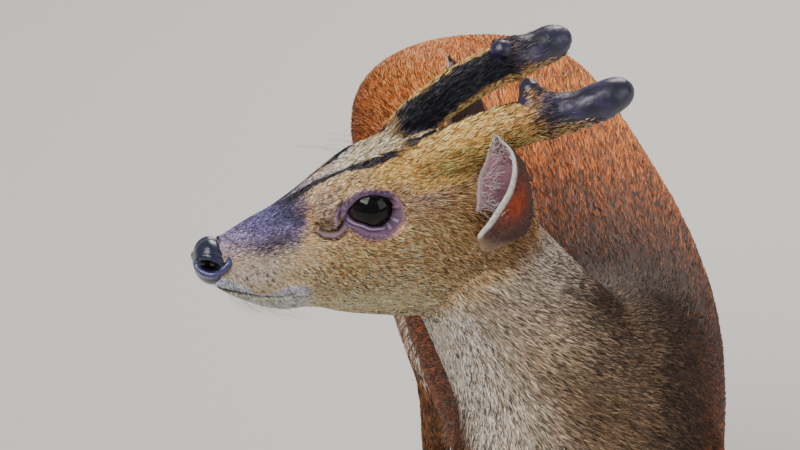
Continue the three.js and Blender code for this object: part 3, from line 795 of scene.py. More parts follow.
def nose_form(points, d):
    """Sinks a nostril on each side and the middle cleft, and raises lip and rim round them."""
    x, y, z = points[..., 0], points[..., 1], points[..., 2]
    oval, level = nostril(x, z)
    rim, _ = stroke(x, z, NOSTRIL_RIM)
    side = ramp(np.abs(y), 4, 7.5)
    push = side * (-6.5 * ramp(oval, 1.08, 0.5) + 1.9 * hill(rim, 0, 1.9)
                   + 0.8 * hill(oval, 1.5, 0.4) * (level > 0))
    push += -1.1 * hill(y, 0, 1.1) * ramp(z, -26, -31) - 0.5 * hill(y, 0, 1.6)
    return push + 1.4 * ramp(z, -22, -14) * ramp(x, 86, 93) - 0.9 * ramp(z, -18, -13) * ramp(x, 88, 82)


def nose_paint(points):
    """Dark leather painted navy as a reflection of the sky, with painted shade inside the nostrils and a
    paler, more violet painted highlight on their rims.
    """
    x, y, z = to_head(points).T
    oval, _ = nostril(x, z)
    tail = [[row[0], row[2]] for row in RIM_TAIL]
    rim = np.minimum(stroke(x, z, NOSTRIL_RIM)[0], stroke(x, z, tail)[0])
    # Painted reflection: the navy blue of the ground is partly the sky reflected in the dark, wet leather.
    colour = one_colour("#0c1331", len(points))
    colour = lay(colour, "#1a143a", ramp(z, -30, -38))
    # Painted highlight: the raised rims are paler and more violet.
    colour = lay(colour, "#3b3a78", 0.7 * hill(rim, 0, 1.7) * (np.abs(y) > 5))
    # Painted shade: black inside the sunk nostrils.
    return lay(colour, "#050406", ramp(oval, 0.98, 0.8) * (np.abs(y) > 4))


def eye_paint(points, mirror):
    """Brown white of the eye, the nearly black iris and the pupil, a lying oval."""
    x, _, z = (to_head(points) - EYE_AT * [1, mirror, 1]).T
    colour = one_colour("#281c20", len(points))
    colour = lay(colour, "#090505", ramp(np.hypot(x, z), 11.9, 11))
    return lay(colour, "#010101", ramp(np.hypot(x / 7.4, z / 5.2), 1.08, 0.94))


pieces = {}
for side, mirror in SIDES.items():
    ball = radial(EYE_AT * [1, mirror, 1], np.full(3, EYEBALL_RADIUS), cornea, 80, 96, pole=1)
    pieces[f"eye_{side}"] = make_mesh(f"eyeball_{side}", *ball)
nose_parts = [radial(NOSE_CENTRE, NOSE_RADII - 0.2, nose_form)]
nose_parts += [tube(stalk(RIM_TAIL, 0, mirror, 40, 24)) for mirror in SIDES.values()]
pieces["nose"] = make_mesh("nose_leather", *joined(nose_parts))
paint(pieces["nose"], "markings_and_painted_light", nose_paint(arrays_of(pieces["nose"])[0]))
for side, mirror in SIDES.items():
    eye_points, _ = arrays_of(pieces[f"eye_{side}"])
    paint(pieces[f"eye_{side}"], "markings_and_painted_light", eye_paint(eye_points, mirror))
print("eyes and nose:", sum(len(p.data.polygons) for p in pieces.values()), "triangles")

# %% [markdown]
# ## Antlers in velvet
# A beam is a stalk with a rounded end that swells over the burr, and the brow tine is a knob beside
# it. Growing antler is never quite smooth, so low lumps of value noise run along it.

# %% Antlers
def antler_part(rows, mirror, rings, count):
    """A stalk of circles whose points move out or in by less than half a millimetre of noise."""
    points, faces = tube(stalk(rows, 0.4, mirror, rings, count))
    lumps = 0.3 * grain(points, 8, 3) + 0.15 * grain(points, 3, 5)
    return points + normals_of(points, faces) * lumps[:, None], faces


for side, mirror in SIDES.items():
    beam = antler_part(ANTLERS[side]["beam"], mirror, 110, 72)
    tine = antler_part(ANTLERS[side]["tine"], mirror, 40, 48)
    pieces[f"antler_{side}"] = make_mesh(f"velvet_antler_{side}", *joined([beam, tine]))
print("antlers:", sum(len(pieces[f"antler_{s}"].data.polygons) for s in SIDES), "triangles")

# %% [markdown]
# ## Hooves
# Each foot has two claws whose inner faces lie side by side, and two small dewclaws behind the
# fetlock. A claw is a stack of ovals that are pointed in front, lean back as the toe does and round
# over at the coronet.

# %% Hooves and dewclaws
SOLE_TOP = 20
CLAW = {"length": 40, "width": 12.5, "cleft": 2.4, "lean": 10, "taper": 0.3, "curl": 2.6}


def claw(x, y, inward):
    """Ovals from sole to coronet; the front of each is drawn to a point and turned inwards."""
    s = np.linspace(0, 1.12, 26)[:, None]
    angle = around(56)[None, :]
    crown = 1 - 0.5 * ramp(s, 0.98, 1.12)
    sole = 1 - 0.05 * ramp(s, 0.06, 0)
    long = CLAW["length"] / 2 * (1 - CLAW["taper"] * s) * sole * crown
    wide = CLAW["width"] / 2 * (1 - 0.08 * s + 0.06 * np.sin(np.pi * np.clip(s, 0, 1))) * sole * crown
    ahead = np.maximum(0, np.cos(angle)) ** 2
    px = x + wide * np.sin(angle) * (1 - 0.45 * ahead) + inward * CLAW["curl"] * ahead
    py = y - CLAW["lean"] * (1 - s) - long * np.cos(angle)
    return tube(np.stack([px, py, SOLE_TOP * s + 0 * angle], -1) + SHIFT)


def dewclaw(x, y, z):
    """A blunt drop that points down behind the fetlock."""
    s = np.linspace(-0.5, 1, 18)[:, None]
    angle = around(24)[None, :]
    radius = 4.4 * np.sqrt(np.maximum(0.02, 1 - s * np.abs(s)))
    p = [x + radius * 0.8 * np.cos(angle), y + 3 * s + radius * np.sin(angle), z - 11 * s + 0 * angle]
    return tube(np.stack(p, -1) + SHIFT)


for name, (rows, middle, side) in LEGS.items():
    lateral, foot_y = rows[-1][:2]
    fetlock_y, fetlock_z, fetlock_long = rows[-3][1:4]
    foot = middle + side * lateral
    horn = []
    for outward in (side, -side):
        apart = outward * (CLAW["width"] + CLAW["cleft"]) / 2
        horn.append(claw(foot + apart, foot_y, -outward))
        horn.append(dewclaw(foot + outward * 8, fetlock_y + fetlock_long, fetlock_z - 2))
    pieces[f"hoof_{name}"] = make_mesh(f"hooves_{name}", *joined(horn))
print("hooves:", sum(len(p.data.polygons) for k, p in pieces.items() if "hoof" in k), "triangles")

# %% [markdown]
# ## Markings
# Skin and coat take their colours from one function of place, so that they agree. It lays one soft
# patch over another, as a taxidermist would with an airbrush: first the ground colour, then lips,
# lids, stripes and crest on the head, and saddle, belly, legs and tail on the body.
# Some patches are painted light: sunlight on the saddle, shade over the shoulder, and highlights and shade
# in the folds round eye and mouth.

# %% Paint by place
STRIPE = [[48, 3], [40, 4.6], [30, 6.6], [22, 9.2], [15, 12], [10, 14.6], [4, 16.8], [0, 17.6], [-5, 18.2],
          [-10, 17.8], [-16, 17.2], [-22, 17.2], [-28, 18.5], [-36, 23]]
VIOLET_EDGE = [[31, 7.4], [34, 3.5], [36.9, -5.6], [37.5, -13], [45.8, -19.8], [57.4, -22.9],
               [63.6, -23.6], [71.6, -21.2], [84.6, -22.5], [95, -27]]
LIP_TOP = [[42, -43.9], [48.5, -41], [55.8, -43.4], [65, -46.3], [70.9, -45], [77.9, -38.3],
           [86, -33.4], [95, -32]]
WHISKER_DOTS = [[70.3, -27.4], [68.6, -31.1], [68.1, -36.1], [63.2, -32.9], [58.6, -32.2], [60.1, -35.7],
                [62.8, -39.3], [66.5, -42.9], [74.5, -33.5], [73, -39]]
LID_DOTS = [[10.5, -11], [9.1, -12.9], [7.1, -14.2], [4.9, -14.3], [1.7, -15.8], [-2, -16.8]]


def line_at(x, rows):
    """The height of a drawn line at a place along the head."""
    rows = np.asarray(rows, float)
    order = np.argsort(rows[:, 0])
    return np.interp(x, rows[order, 0], rows[order, 1])


def stalk_place(q, side):
    """Where points lie on a pedicle: distance from its axis, way along it, and the angle round it."""
    rows = np.asarray(ANTLERS[side]["pedicle"])[:, :3] * [1, SIDES[side], 1]
    a, b = rows[1], rows[-1]
    t = np.clip((q - a) @ (b - a) / ((b - a) @ (b - a)), 0, 1)
    steps = (rows[1:] - a) @ (b - a) / ((b - a) @ (b - a))
    path = np.stack([np.interp(t, steps, rows[1:, k]) for k in range(3)], -1)
    off = q - path
    inward = np.arctan2(-off[:, 1] * SIDES[side], off[:, 2])
    return np.linalg.norm(off, axis=1), t, inward


def specks(x, z, places, size):
    """1 on each of a few small round dots of the side view."""
    return sum(hill(np.hypot(x - a, z - b), 0, size) for a, b in places)


def paint_face(colour, q):
    """Ground colours of cheek, jaw, brow and forehead, then the violet bridge of the nose."""
    x, y, z = q.T
    side = np.abs(y)
    rough = 2.2 * grain(q, 2.2, 31) + 1.5 * grain(q, 5, 32)
    colour = lay(colour, "#e4c49a", ramp(x, 20, 50) * ramp(z, -2, -20))
    colour = lay(colour, "#f6e0ac", 0.95 * hill(z, -58, 9) * ramp(x, 60, 40) * ramp(x, -45, 5))
    colour = lay(colour, "#cdb78c", ramp(z, -64, -74))
    colour = lay(colour, "#a57a49", 0.75 * ramp(x, -8, -42) * ramp(z, -58, -30))
    colour = lay(colour, "#8d6238", 0.6 * ramp(x, -48, -80))
    colour = lay(colour, "#c79a5f", 0.6 * hill(z + 0.2 * x, -26, 9) * hill(x, 10, 34))
    colour = lay(colour, "#efaf4c", 0.9 * ramp(z + rough, 8, 16) * ramp(x, 8, -14) * ramp(side, 12, 18))
    colour = lay(colour, "#b4908a", 0.75 * hill(x, -28, 12) * hill(z, 6, 8) * ramp(side, 20, 28))
    colour = lay(colour, "#a68d80", 0.8 * hill(x, 26, 11) * hill(z, 3, 9) * ramp(side, 10, 16))
    colour = lay(colour, "#bfac86", ramp(z, 6, 12) * ramp(side, 18, 13) * ramp(x, 34, 14))
    colour = lay(colour, "#ddccc0", 0.8 * hill(x, 70, 16) * hill(z, -32, 9))
    edge = 0.7 * rough + 5 * (grain(q, 0.5, 37) - 0.5)
    violet = ramp(z + edge - line_at(x, VIOLET_EDGE), -6, 5) * ramp(x + edge, 27, 45)
    colour = lay(colour, "#857598", violet)
    colour = lay(colour, "#c0a2b2", violet * 0.8 * hill(x, 84, 10) * ramp(z, -14, -20))
    colour = lay(colour, "#3a2c3e", violet * 0.85 * hill(x, 57, 14) * hill(z + 0.3 * (x - 56), -17, 5.5))
    colour = lay(colour, "#5c5480", violet * ramp(z + rough, -14, -6))
    colour = lay(colour, "#2a2640", violet * 0.85 * ramp(x, 62, 46) * ramp(z + rough, -10, -2))
    return colour


def paint_lips(colour, q):
    """White lips, painted shade in the line between them, the grey corner of the mouth and the whisker
    dots.
    """
    x, y, z = q.T
    rough = 1.2 * grain(q, 1.6, 33)
    mouth, _ = stroke(x, z, MOUTH_LINE)
    above = z - line_at(x, MOUTH_LINE)
    white = ramp(z + rough - line_at(x, LIP_TOP), 1.2, -0.8)
    colour = lay(colour, "#e3e6f4", white * ramp(x, 39, 45) * (above > 0))
    colour = lay(colour, "#efebdc", ramp(above, 0.4, -0.8) * ramp(x, 38, 50) * ramp(z, -42, -45))
    colour = lay(colour, "#d5ce92", 0.7 * hill(x, 66, 7) * hill(above, -2.6, 1.6) * (above < 0))
    colour = lay(colour, "#bdb3bf", 0.8 * hill(np.hypot((x - 47.5) / 5.2, (z + 45) / 3), 1, 0.4))
    colour = lay(colour, "#ece8f0", 0.7 * hill(np.hypot((x - 47.5) / 4, (z + 44.8) / 1.7), 0, 0.8))
    # Painted shade: the dark line lies in the groove pressed between the lips.
    colour = lay(colour, "#2b2027", 0.9 * hill(mouth, 0, 0.75) * (x > 48))
    colour = lay(colour, "#5b3a38", 0.6 * hill(mouth, 0.8, 0.8) * ramp(x, 76, 86))
    return lay(colour, "#15110f", (np.abs(y) > 8) * specks(x, z, WHISKER_DOTS, 0.75))


def paint_lids(colour, q):
    """Bare mauve skin round the eye, darker over it, with the lid's rims, folds, gland and dots; painted
    highlights on the lower rim and the crests of the folds, and painted shade in their creases and the
    slit.
    """
    x, y, z = q.T
    near = near_eye(x, y, 15)
    e = around_eye(x, z, LID_EDGE)
    bare = ramp(around_eye(x, z, BARE_EDGE) + 0.05 * grain(q, 1.5, 34), 1.16, 0.94) * near
    colour = lay(colour, "#7b5d74", bare)
    colour = lay(colour, "#8f6a7b", bare * 0.6 * ramp(x, -6, -14))
    colour = lay(colour, "#503b55", bare * 0.85 * ramp(z, 1, 6) * ramp(e, 1.4, 1.1))
    # Painted highlight: a pale violet sheen of wet skin along the raised lower rim.
    colour = lay(colour, "#a79bc4", bare * 0.8 * hill(e, 1.11, 0.05) * ramp(z, 2, -3))
    # Painted shade: a dark line in the crease beyond the raised lower rim.
    colour = lay(colour, "#4a3650", bare * 0.7 * hill(e, 1.24, 0.06) * ramp(z, 4, 0))
    colour = lay(colour, "#1b1218", near * ramp(e, 1.07, 1.0) * ramp(z - 0.25 * x, -3, 0))
    colour = lay(colour, "#3c2b3a", near * 0.9 * ramp(e, 1.06, 1.0) * ramp(z - 0.25 * x, 0, -3))
    slit, fold, ridge = gland_gaps(x, z)
    colour = lay(colour, "#77604f", near * 0.85 * hill(np.hypot((x - 26) / 6, (z + 4.8) / 4.6), 0, 1))
    # Painted light on ridge and fold: their darker sides are painted shade and their paler crests painted
    # highlights.
    colour = lay(colour, "#594355", near * 0.7 * hill(ridge, 0, 2.1))
    colour = lay(colour, "#957c9d", near * 0.85 * hill(ridge, 0, 0.8))
    colour = lay(colour, "#523e4d", near * 0.85 * hill(fold, 0, 2.2))
    colour = lay(colour, "#8f7796", near * 0.8 * hill(fold, -0.2, 0.9))
    # Painted shadow in the groove under the lower fold, and painted shade in the sunk slit of the gland.
    colour = lay(colour, "#3d2e35", near * 0.75 * hill(fold, 2.7, 1.0) * (z < -10.5))
    colour = lay(colour, "#150e12", near * hill(slit, 0, 1.0) * ramp(x, 13, 15.5))
    return lay(colour, "#17101a", near * specks(x, z, LID_DOTS, 0.5))


def paint_head(q):
    """The head's colours in its own frame: face, lips and lids with their painted shade and highlights,
    then stripes, crest and pedicles.
    """
    x, y, z = q.T
    side = np.abs(y)
    colour = paint_face(one_colour("#ddac74", len(q)), q)
    colour = paint_lids(paint_lips(colour, q), q)
    rough = 0.6 * grain(q, 1.4, 35)
    middle = line_at(x, STRIPE)
    wide = np.interp(x, [-34, -24, -14, 0, 12, 24, 44], [5.5, 4, 2.6, 2.2, 2.6, 2.2, 2.8])
    top = ramp(z, -2, 3) * ramp(x, 50, 44)
    colour = lay(colour, "#8f7f9d", 0.85 * hill(side, middle - 4.6, 2.2) * ramp(x, 0, 9) * top)
    colour = lay(colour, "#14121f", ramp(np.abs(side - middle) + rough, wide + 0.7, wide - 0.7) * top)
    for name, mirror in SIDES.items():
        away, t, inward = stalk_place(q, name)
        on = ramp(away, 21, 16) * (y * mirror > 0) * ramp(x, -14, -26)
        colour = lay(colour, "#e0a44f", 0.9 * on)
        colour = lay(colour, "#a87440", 0.6 * on * ramp(t, 0.55, 0.9))
        angle = inward + 0.12 * grain(q, 3, 36)
        colour = lay(colour, "#11101b", on * ramp(angle, 0.05, 0.3) * ramp(angle, 2.05, 1.8))
        colour = lay(colour, "#40333f", on * ramp(t, 0.84, 0.97))
    return colour


def trunk_place(m):
    """Where points lie on the trunk: 0 at the belly to 1 at the back, and sideways from its middle."""
    rows = spline(TRUNK, 60)
    x, top, bottom = (np.interp(m[:, 1], rows[:, 1], rows[:, k]) for k in (0, 2, 3))
    return (m[:, 2] - bottom) / (top - bottom), m[:, 0] - x


def over_chest(m):
    """How high points lie over a plane that slopes up from the chest to the back, in mm."""
    return m[:, 2] - 0.83 * (m[:, 1] + 300)


def at_tail(m, half=26, start=268):
    """True behind the rump within half a width of the tail's middle."""
    return (m[:, 1] > start) & (np.abs(m[:, 0] - TAIL_X) < half)


def paint_body(points, normals):
    """The body's colours in the model's own frame: saddle, flank, belly, neck, legs and tail, with painted
    sunlight on back and rump and painted shade over the shoulder.
    """
    m = points - SHIFT
    x, y, z = m.T
    height, _ = trunk_place(m)
    colour = one_colour("#74390f", len(m))
    # Painted sunlight: the bright orange over back and rump is partly the chestnut of the saddle and
    # partly painted sunlight.
    colour = lay(colour, "#cf6c1d", ramp(y, -40, 110) * ramp(height, 0.5, 0.9))
    colour = lay(colour, "#9c4c12", ramp(y, 20, 160) * ramp(height, 0.8, 0.4))
    # Painted shade: the dark brown over the shoulder and withers is partly the darker fur towards the neck
    # and partly painted shade of the head.
    colour = lay(colour, "#3c210e", 0.92 * ramp(y, 0, -130) * ramp(height, 0.4, 0.85))
    colour = lay(colour, "#2b1f19", 0.85 * ramp(y, -90, -190) * ramp(height, 0.8, 0.97))
    colour = lay(colour, "#a5794a", 0.8 * ramp(height, 0.4, 0.16))
    colour = lay(colour, "#96501f", 0.9 * ramp(y, 70, 150) * ramp(height, 0.5, 0.2))
    colour = lay(colour, "#e6dccb", ramp(height, 0.22, 0.06) * ramp(y, -230, -120) * ramp(y, 180, 110)
                 * ramp(normals[:, 2], 0.1, -0.5))
    on_neck = ramp(over_chest(m), NECK_LINE, 400) * (y < NECK_BACK)
    throat = np.clip(-(normals[:, 0] * 0.75 + normals[:, 1] * 0.35), -1, 1)
    neck = one_colour("#a78e74", len(m))
    neck = lay(neck, "#5f4730", 0.9 * ramp(z, 505, 455) * ramp(throat, 0.75, 0.2))
    neck = lay(neck, "#3f2d1f", ramp(throat, 0.3, -0.45))
    neck = lay(neck, "#c9b7a2", ramp(throat, 0.35, 0.8))
    neck = lay(neck, "#e6dfcc", ramp(throat, 0.74, 0.95))
    neck = lay(neck, "#c7b09a", 0.6 * ramp(z, 500, 530))
    colour = colour + (neck - colour) * on_neck[:, None]
    fore = ramp(z, 330, 250) * ramp(y, -70, -150)
    hind = ramp(z, 300, 230) * ramp(y, 70, 130)
    colour = lay(colour, "#6d4423", fore + hind)
    colour = lay(colour, "#33241a", 0.85 * ramp(z, 180, 60))
    apart = x - np.where(y < 0, FORE_X, HIND_X)
    inner = (np.abs(apart) < 40) * ramp(-np.sign(apart) * normals[:, 0], 0.2, 0.8)
    colour = lay(colour, "#cdbca2", 0.8 * inner * ramp(z, 150, 230) * ramp(z, 380, 300))
    colour = lay(colour, "#dcd2c4", 0.7 * hill(z, 33, 7) * (z < 60) * ramp(normals[:, 1], 0.2, -0.6))
    seat = ramp(y, 225, 250) * (np.abs(x - TAIL_X) < 34) * ramp(z, 450, 425)
    colour = lay(colour, "#ece4d6", seat * ramp(np.abs(x - TAIL_X), 34, 20) * ramp(z, 300, 330))
    tail = at_tail(m, 24)
    colour = lay(colour, "#a8541f", tail * ramp(normals[:, 1], -0.35, 0.1))
    colour = lay(colour, "#f3eee4", tail * ramp(normals[:, 1], 0.05, -0.35))
    return colour


def markings_and_painted_light(points, normals):
    """Head and body colours with their painted light and shade, blended across the top of the neck, with
    soft uneven patches.
    """
    share = ramp(head_height(points) + 4 * grain(points, 14, 2), -16, 10)[:, None]
    colour = paint_body(points, normals) * (1 - share) + paint_head(to_head(points)) * share
    uneven = 1 + 0.1 * grain(points, 22, 11) + 0.08 * grain(points, 6, 12)
    return np.clip(colour * uneven[:, None], 0, 1)


# %% [markdown]
# ## The lie of the coat
# Hair lies back along the head, down the neck, back along the trunk and down the legs. Each region
# has one direction, the regions blend, and the result is laid flat on the skin.

# %% Flow, length and width of the hair
NECK_HAIR, TAIL_HAIR = 5.6, 15.0


def on_chin(x, z):
    """1 on the lower lip and chin, where longer hair hangs, and 0 elsewhere on the head."""
    return ramp(line_at(x, MOUTH_LINE) - z, 1.5, 7) * ramp(x, 20, 62)


def flow_at(points, normals):
    """The direction in which hair lies: a blend of the regions' directions, laid on the skin."""
    q, m = to_head(points), points - SHIFT
    x, y, z = q.T
    head = np.tile([-1.0, 0.0, -0.12], (len(q), 1))
    down = 1.1 * hill(x, 66, 20) * ramp(z, -22, -32) + 0.45 * hill(x, 20, 26) * ramp(z, -12, -24)
    down += 0.8 * ramp(x, -5, -45) * ramp(z, 2, -20) - 0.35 * ramp(z, -52, -64) * ramp(x, -30, 10)
    down += 0.6 * on_chin(x, z)
    rise = 0.45 * ramp(z, 0, 12) * ramp(x, 40, 15) + 0.3 * ramp(x, 40, 60) * ramp(z, -24, -16)
    head[:, 2] += rise - down
    for name, mirror in SIDES.items():
        rows = np.asarray(ANTLERS[name]["pedicle"])
        along = unit((rows[-2, :3] - rows[1, :3]) * [1, mirror, 1])
        away, _, _ = stalk_place(q, name)
        on = (ramp(away, 24, 15) * (y * mirror > 0) * ramp(x, -5, -25))[:, None]
        head = head * (1 - on) + along * on
    head = head @ HEAD_AXES.T
    height, _ = trunk_place(m)
    trunk = np.stack([0 * height, 1 + 0 * height, -0.1 - 0.5 * ramp(height, 0.9, 0.4)], -1)
    neck = np.tile(unit(np.array([0.75, 0.3, -0.72])), (len(q), 1))
    neck[:, 2] -= 0.5 * ramp(-normals[:, 0], 0.2, 0.9)
    front = ramp(m[:, 1], -120, -235)[:, None] * (1 - 0.3 * ramp(m[:, 2], 360, 300)[:, None])
    body = trunk * (1 - front) + neck * front
    fore = ramp(m[:, 2], 380, 270) * (m[:, 1] < -120)
    hind = ramp(m[:, 2], 360, 260) * (m[:, 1] > 100)
    legs = np.where(at_tail(m, start=262), 1, np.clip(fore + hind, 0, 1))
    body = body * (1 - legs[:, None]) + np.array([0, 0.12, -1]) * legs[:, None]
    share = ramp(head_height(points), -30, 12)[:, None]
    flow = head * share + body * (1 - share)
    return unit(flow - normals * (flow * normals).sum(1, keepdims=True))


def hair_size(points):
    """Length and width of a tuft in mm: short on the face and feet, longest on tail and trunk."""
    q, m = to_head(points), points - SHIFT
    x, y, z = q.T
    face = np.interp(x, [-60, -20, 30, 60, 90], [4.6, 3.8, 3.0, 2.3, 1.9])
    face += 1.2 * ramp(z, 8, 14) * ramp(np.abs(y), 20, 14) * ramp(x, 25, 0)
    face += 1.6 * ramp(z, -48, -60) * ramp(x, 20, 60) + 1.3 * on_chin(x, z)
    face *= 1 - 0.55 * near_eye(x, y) * ramp(around_eye(x, z, BARE_EDGE), 1.3, 0.95)
    body = 8.5 + 2.5 * ramp(m[:, 1], -150, 0) - 4.5 * ramp(m[:, 2], 240, 110)
    body = np.where((m[:, 1] < NECK_BACK) & (over_chest(m) > NECK_LINE), NECK_HAIR, body)
    body = np.where(at_tail(m) & (m[:, 2] > 250), TAIL_HAIR, body)
    share = ramp(head_height(points), -45, 15)
    length = body * (1 - share) + face * share
    return length, np.clip(0.125 * length, 0.36, 1.5)


# %% [markdown]
# ## Tufts
# Each tuft is a thin closed blade of four triangles: two root corners, a raised ridge and a tip
# that lies over the next tufts. All blades are made at once as arrays. Their normals are those of
# the skin, tilted a little at random, so that they shade as fur does and not as chips.

# %% Sow and grow
TUFT_FACES = np.array([[0, 2, 3], [2, 1, 3], [0, 1, 2], [1, 0, 3]])


def sown(points, faces, density):
    """Random places on a surface, density for each square millimetre: faces and shares of corners."""
    area = np.linalg.norm(face_cross(points, faces), axis=1)
    count = int((area / 2 * density[faces].mean(1)).sum())
    weight = np.cumsum(area * density[faces].mean(1))
    face = np.searchsorted(weight, rng.random(count) * weight[-1])
    u, v = rng.random(count), rng.random(count)
    flip = u + v > 1
    u, v = np.where(flip, 1 - u, u), np.where(flip, 1 - v, v)
    return face, np.stack([1 - u - v, u, v], -1)


def mix_at(values, faces, face, share):
    """Values of a surface's points read at the places of seeds."""
    return np.einsum("ij,ijk->ik", share, values[faces[face]])


def blades(root, normal, flow, length, width, lift):
    """Corners of blades: left and right root, ridge at 45% of the length, tip at the full length."""
    side = np.cross(normal, flow)
    turn = rng.normal(0, 0.16, (len(root), 1))
    lie = unit(flow * np.cos(turn) + side * np.sin(turn))
    across = np.cross(normal, lie) * width[:, None] / 2
    ahead, up = lie * length[:, None], normal * length[:, None]
    lift = lift[:, None]
    corners = [root + across - normal * 0.35, root - across - normal * 0.35,
               root + ahead * 0.45 + up * lift * 0.75 + normal * 0.25,
               root + ahead + up * lift * rng.uniform(0.6, 1.3, lift.shape)]
    return np.stack(corners, 1).reshape(-1, 3)


# %% [markdown]
# ## Colour and flow on the ears
# A deer's ear is thinly haired outside and bare and pink inside, with a pale rim. Its place in space
# says little about it, so its colours follow its own grid: the way along it and the way across it.

# %% Ears by their own grid
def ear_paint(mirror):
    """Colour, flow, unwrap and share of hair of an ear's points, by their place on its grid."""
    along = np.repeat(np.linspace(0, 1, EAR_ALONG), 2 * EAR_ACROSS)
    across = np.tile(np.r_[np.linspace(0, 1, EAR_ACROSS), np.linspace(1, 0, EAR_ACROSS)], EAR_ALONG)
    inside = np.tile(np.arange(2 * EAR_ACROSS) >= EAR_ACROSS, EAR_ALONG)
    place = np.stack([along * 60, across * 40, inside * 90.0], -1)
    colour = one_colour("#5c4038", len(along))
    colour = lay(colour, "#b4441c", 0.8 * hill(along, 0.42, 0.13) * hill(across, 0.12, 0.1))
    colour = lay(colour, "#43302b", ramp(along, 0.45, 0.9) * hill(across, 0.5, 0.35))
    hollow = one_colour("#b0808e", len(along))
    # Painted shade: darker purple deep in the cup, near the root and along its middle.
    hollow = lay(hollow, "#6f3956", ramp(along, 0.65, 0.25) * hill(across, 0.5, 0.36))
    hollow = lay(hollow, "#b59a92", ramp(along, 0.62, 0.9))
    hollow = lay(hollow, "#5d4148", 0.7 * (grain(place, 2.4, 4) > 0.62) * ramp(along, 0.55, 0.7))
    colour = np.where(inside[:, None], hollow, colour)
    edge = np.minimum(across, 1 - across)
    rim = ramp(edge, 0.04, 0.02) * ramp(along, 0.04, 0.12)
    colour = lay(colour, "#bda6a3", rim * (across > 0.5))
    colour = lay(colour, "#f0ece4", rim * np.maximum(across < 0.5, ramp(along, 0.75, 0.95)))
    colour = lay(colour, "#a98a72", ramp(along, 0.16, 0.04))
    flow = unit(np.gradient(ear_rings(mirror), axis=0)).reshape(-1, 3)
    unwrap = np.stack([(across + inside) / 4 + (mirror < 0) / 2, along], -1)
    cap = [colour[:1], colour[-1:]], [flow[:1], flow[-1:]], [unwrap[:1], unwrap[-1:]]
    hair = np.where(inside, 0.0, 1.0) + 0.8 * (edge < 0.03)
    return (np.concatenate([colour, *cap[0]]), np.concatenate([flow, *cap[1]]),
            np.concatenate([unwrap, *cap[2]]), np.r_[hair, 0, 0])


# %% Colour and flow of the skin
skin_normals = normals_of(skin_points, skin_faces)
skin_colour = markings_and_painted_light(skin_points, skin_normals)
skin_flow = flow_at(skin_points, skin_normals)
ear_unwrap = np.zeros((len(skin_points), 2))
ear_hair = np.zeros(len(skin_points))
for shell, mirror in ((1, 1), (2, -1)):
    rows = shell_of == shell
    skin_colour[rows], skin_flow[rows], ear_unwrap[rows], ear_hair[rows] = ear_paint(mirror)
paint(skin, "markings_and_painted_light", skin_colour)
print("skin painted")

# %% [markdown]
# ## Where hair grows
# The hair of the face is fine and dense, that of the trunk longer and coarser, and lids, gland and
# nose are bare. Blender's hair particles could be painted by weight; here a density in tufts for
# each square millimetre does the same, and random places are drawn from it.

# %% Density and seeds
def hair_density(points):
    """Tufts for each square millimetre of skin; none on lids, gland and nose."""
    q, m = to_head(points), points - SHIFT
    share = ramp(head_height(points), -60, 10)
    on_neck = ramp(over_chest(m), 320, 380) * (m[:, 1] < NECK_BACK)
    body = 0.25 + 0.13 * ramp(m[:, 2], 260, 150) + 0.8 * on_neck
    body += 0.35 * at_tail(m)
    x, y, z = q.T
    face = 3.2 + 1.4 * ramp(x, 10, 60) - 0.9 * ramp(x, -30, -60)
    density = body * (1 - share) + face * share
    slit, fold, ridge = gland_gaps(x, z)
    gland = np.minimum(np.minimum(slit, fold + 0.2), ridge)
    nose = np.linalg.norm((q - NOSE_CENTRE) / NOSE_RADII, axis=1) < 0.99
    bare = ramp(around_eye(x, z, BARE_EDGE), 0.84, 1.04) * ramp(gland, 1.2, 2.6)
    return np.where(nose, 0, density * np.where(near_eye(x, y), bare, 1))


face_shell = shell_of[skin_faces[:, 0]]
x, y, z = to_head(skin_points).T
under_sheet = (around_eye(x, z, SHEET_EDGE) < 0.94) & near_eye(x, y, 10)
density = hair_density(skin_points) * np.where((shell_of == 0) & under_sheet, 0, 1)
density = np.where((shell_of == 1) | (shell_of == 2), 0.9 * ear_hair, density)
face, share = sown(skin_points, skin_faces, density)
root = mix_at(skin_points, skin_faces, face, share)
normal = unit(mix_at(skin_normals, skin_faces, face, share))
flow = mix_at(skin_flow, skin_faces, face, share)
on_ear = (face_shell[face] == 1) | (face_shell[face] == 2)
colour = np.where(on_ear[:, None], mix_at(skin_colour, skin_faces, face, share), markings_and_painted_light(root, normal))
length, width = hair_size(root)
EAR_HAIR, BEAM_HAIR = (1.9, 0.42), (4.2, 0.3)
length, width = np.where(on_ear, EAR_HAIR[0], length), np.where(on_ear, EAR_HAIR[1], width)
ear_place = mix_at(np.c_[ear_unwrap, 0 * ear_hair], skin_faces, face, share)[:, :2]
SKIN_TUFTS = len(root)

# %% [markdown]
# ## Hair on the antlers
# Over the burr the fur of the pedicle thins out into the velvet, longest on the under side. Its
# seeds are drawn on the beams, and they join the seeds of the skin, so that one step grows both.

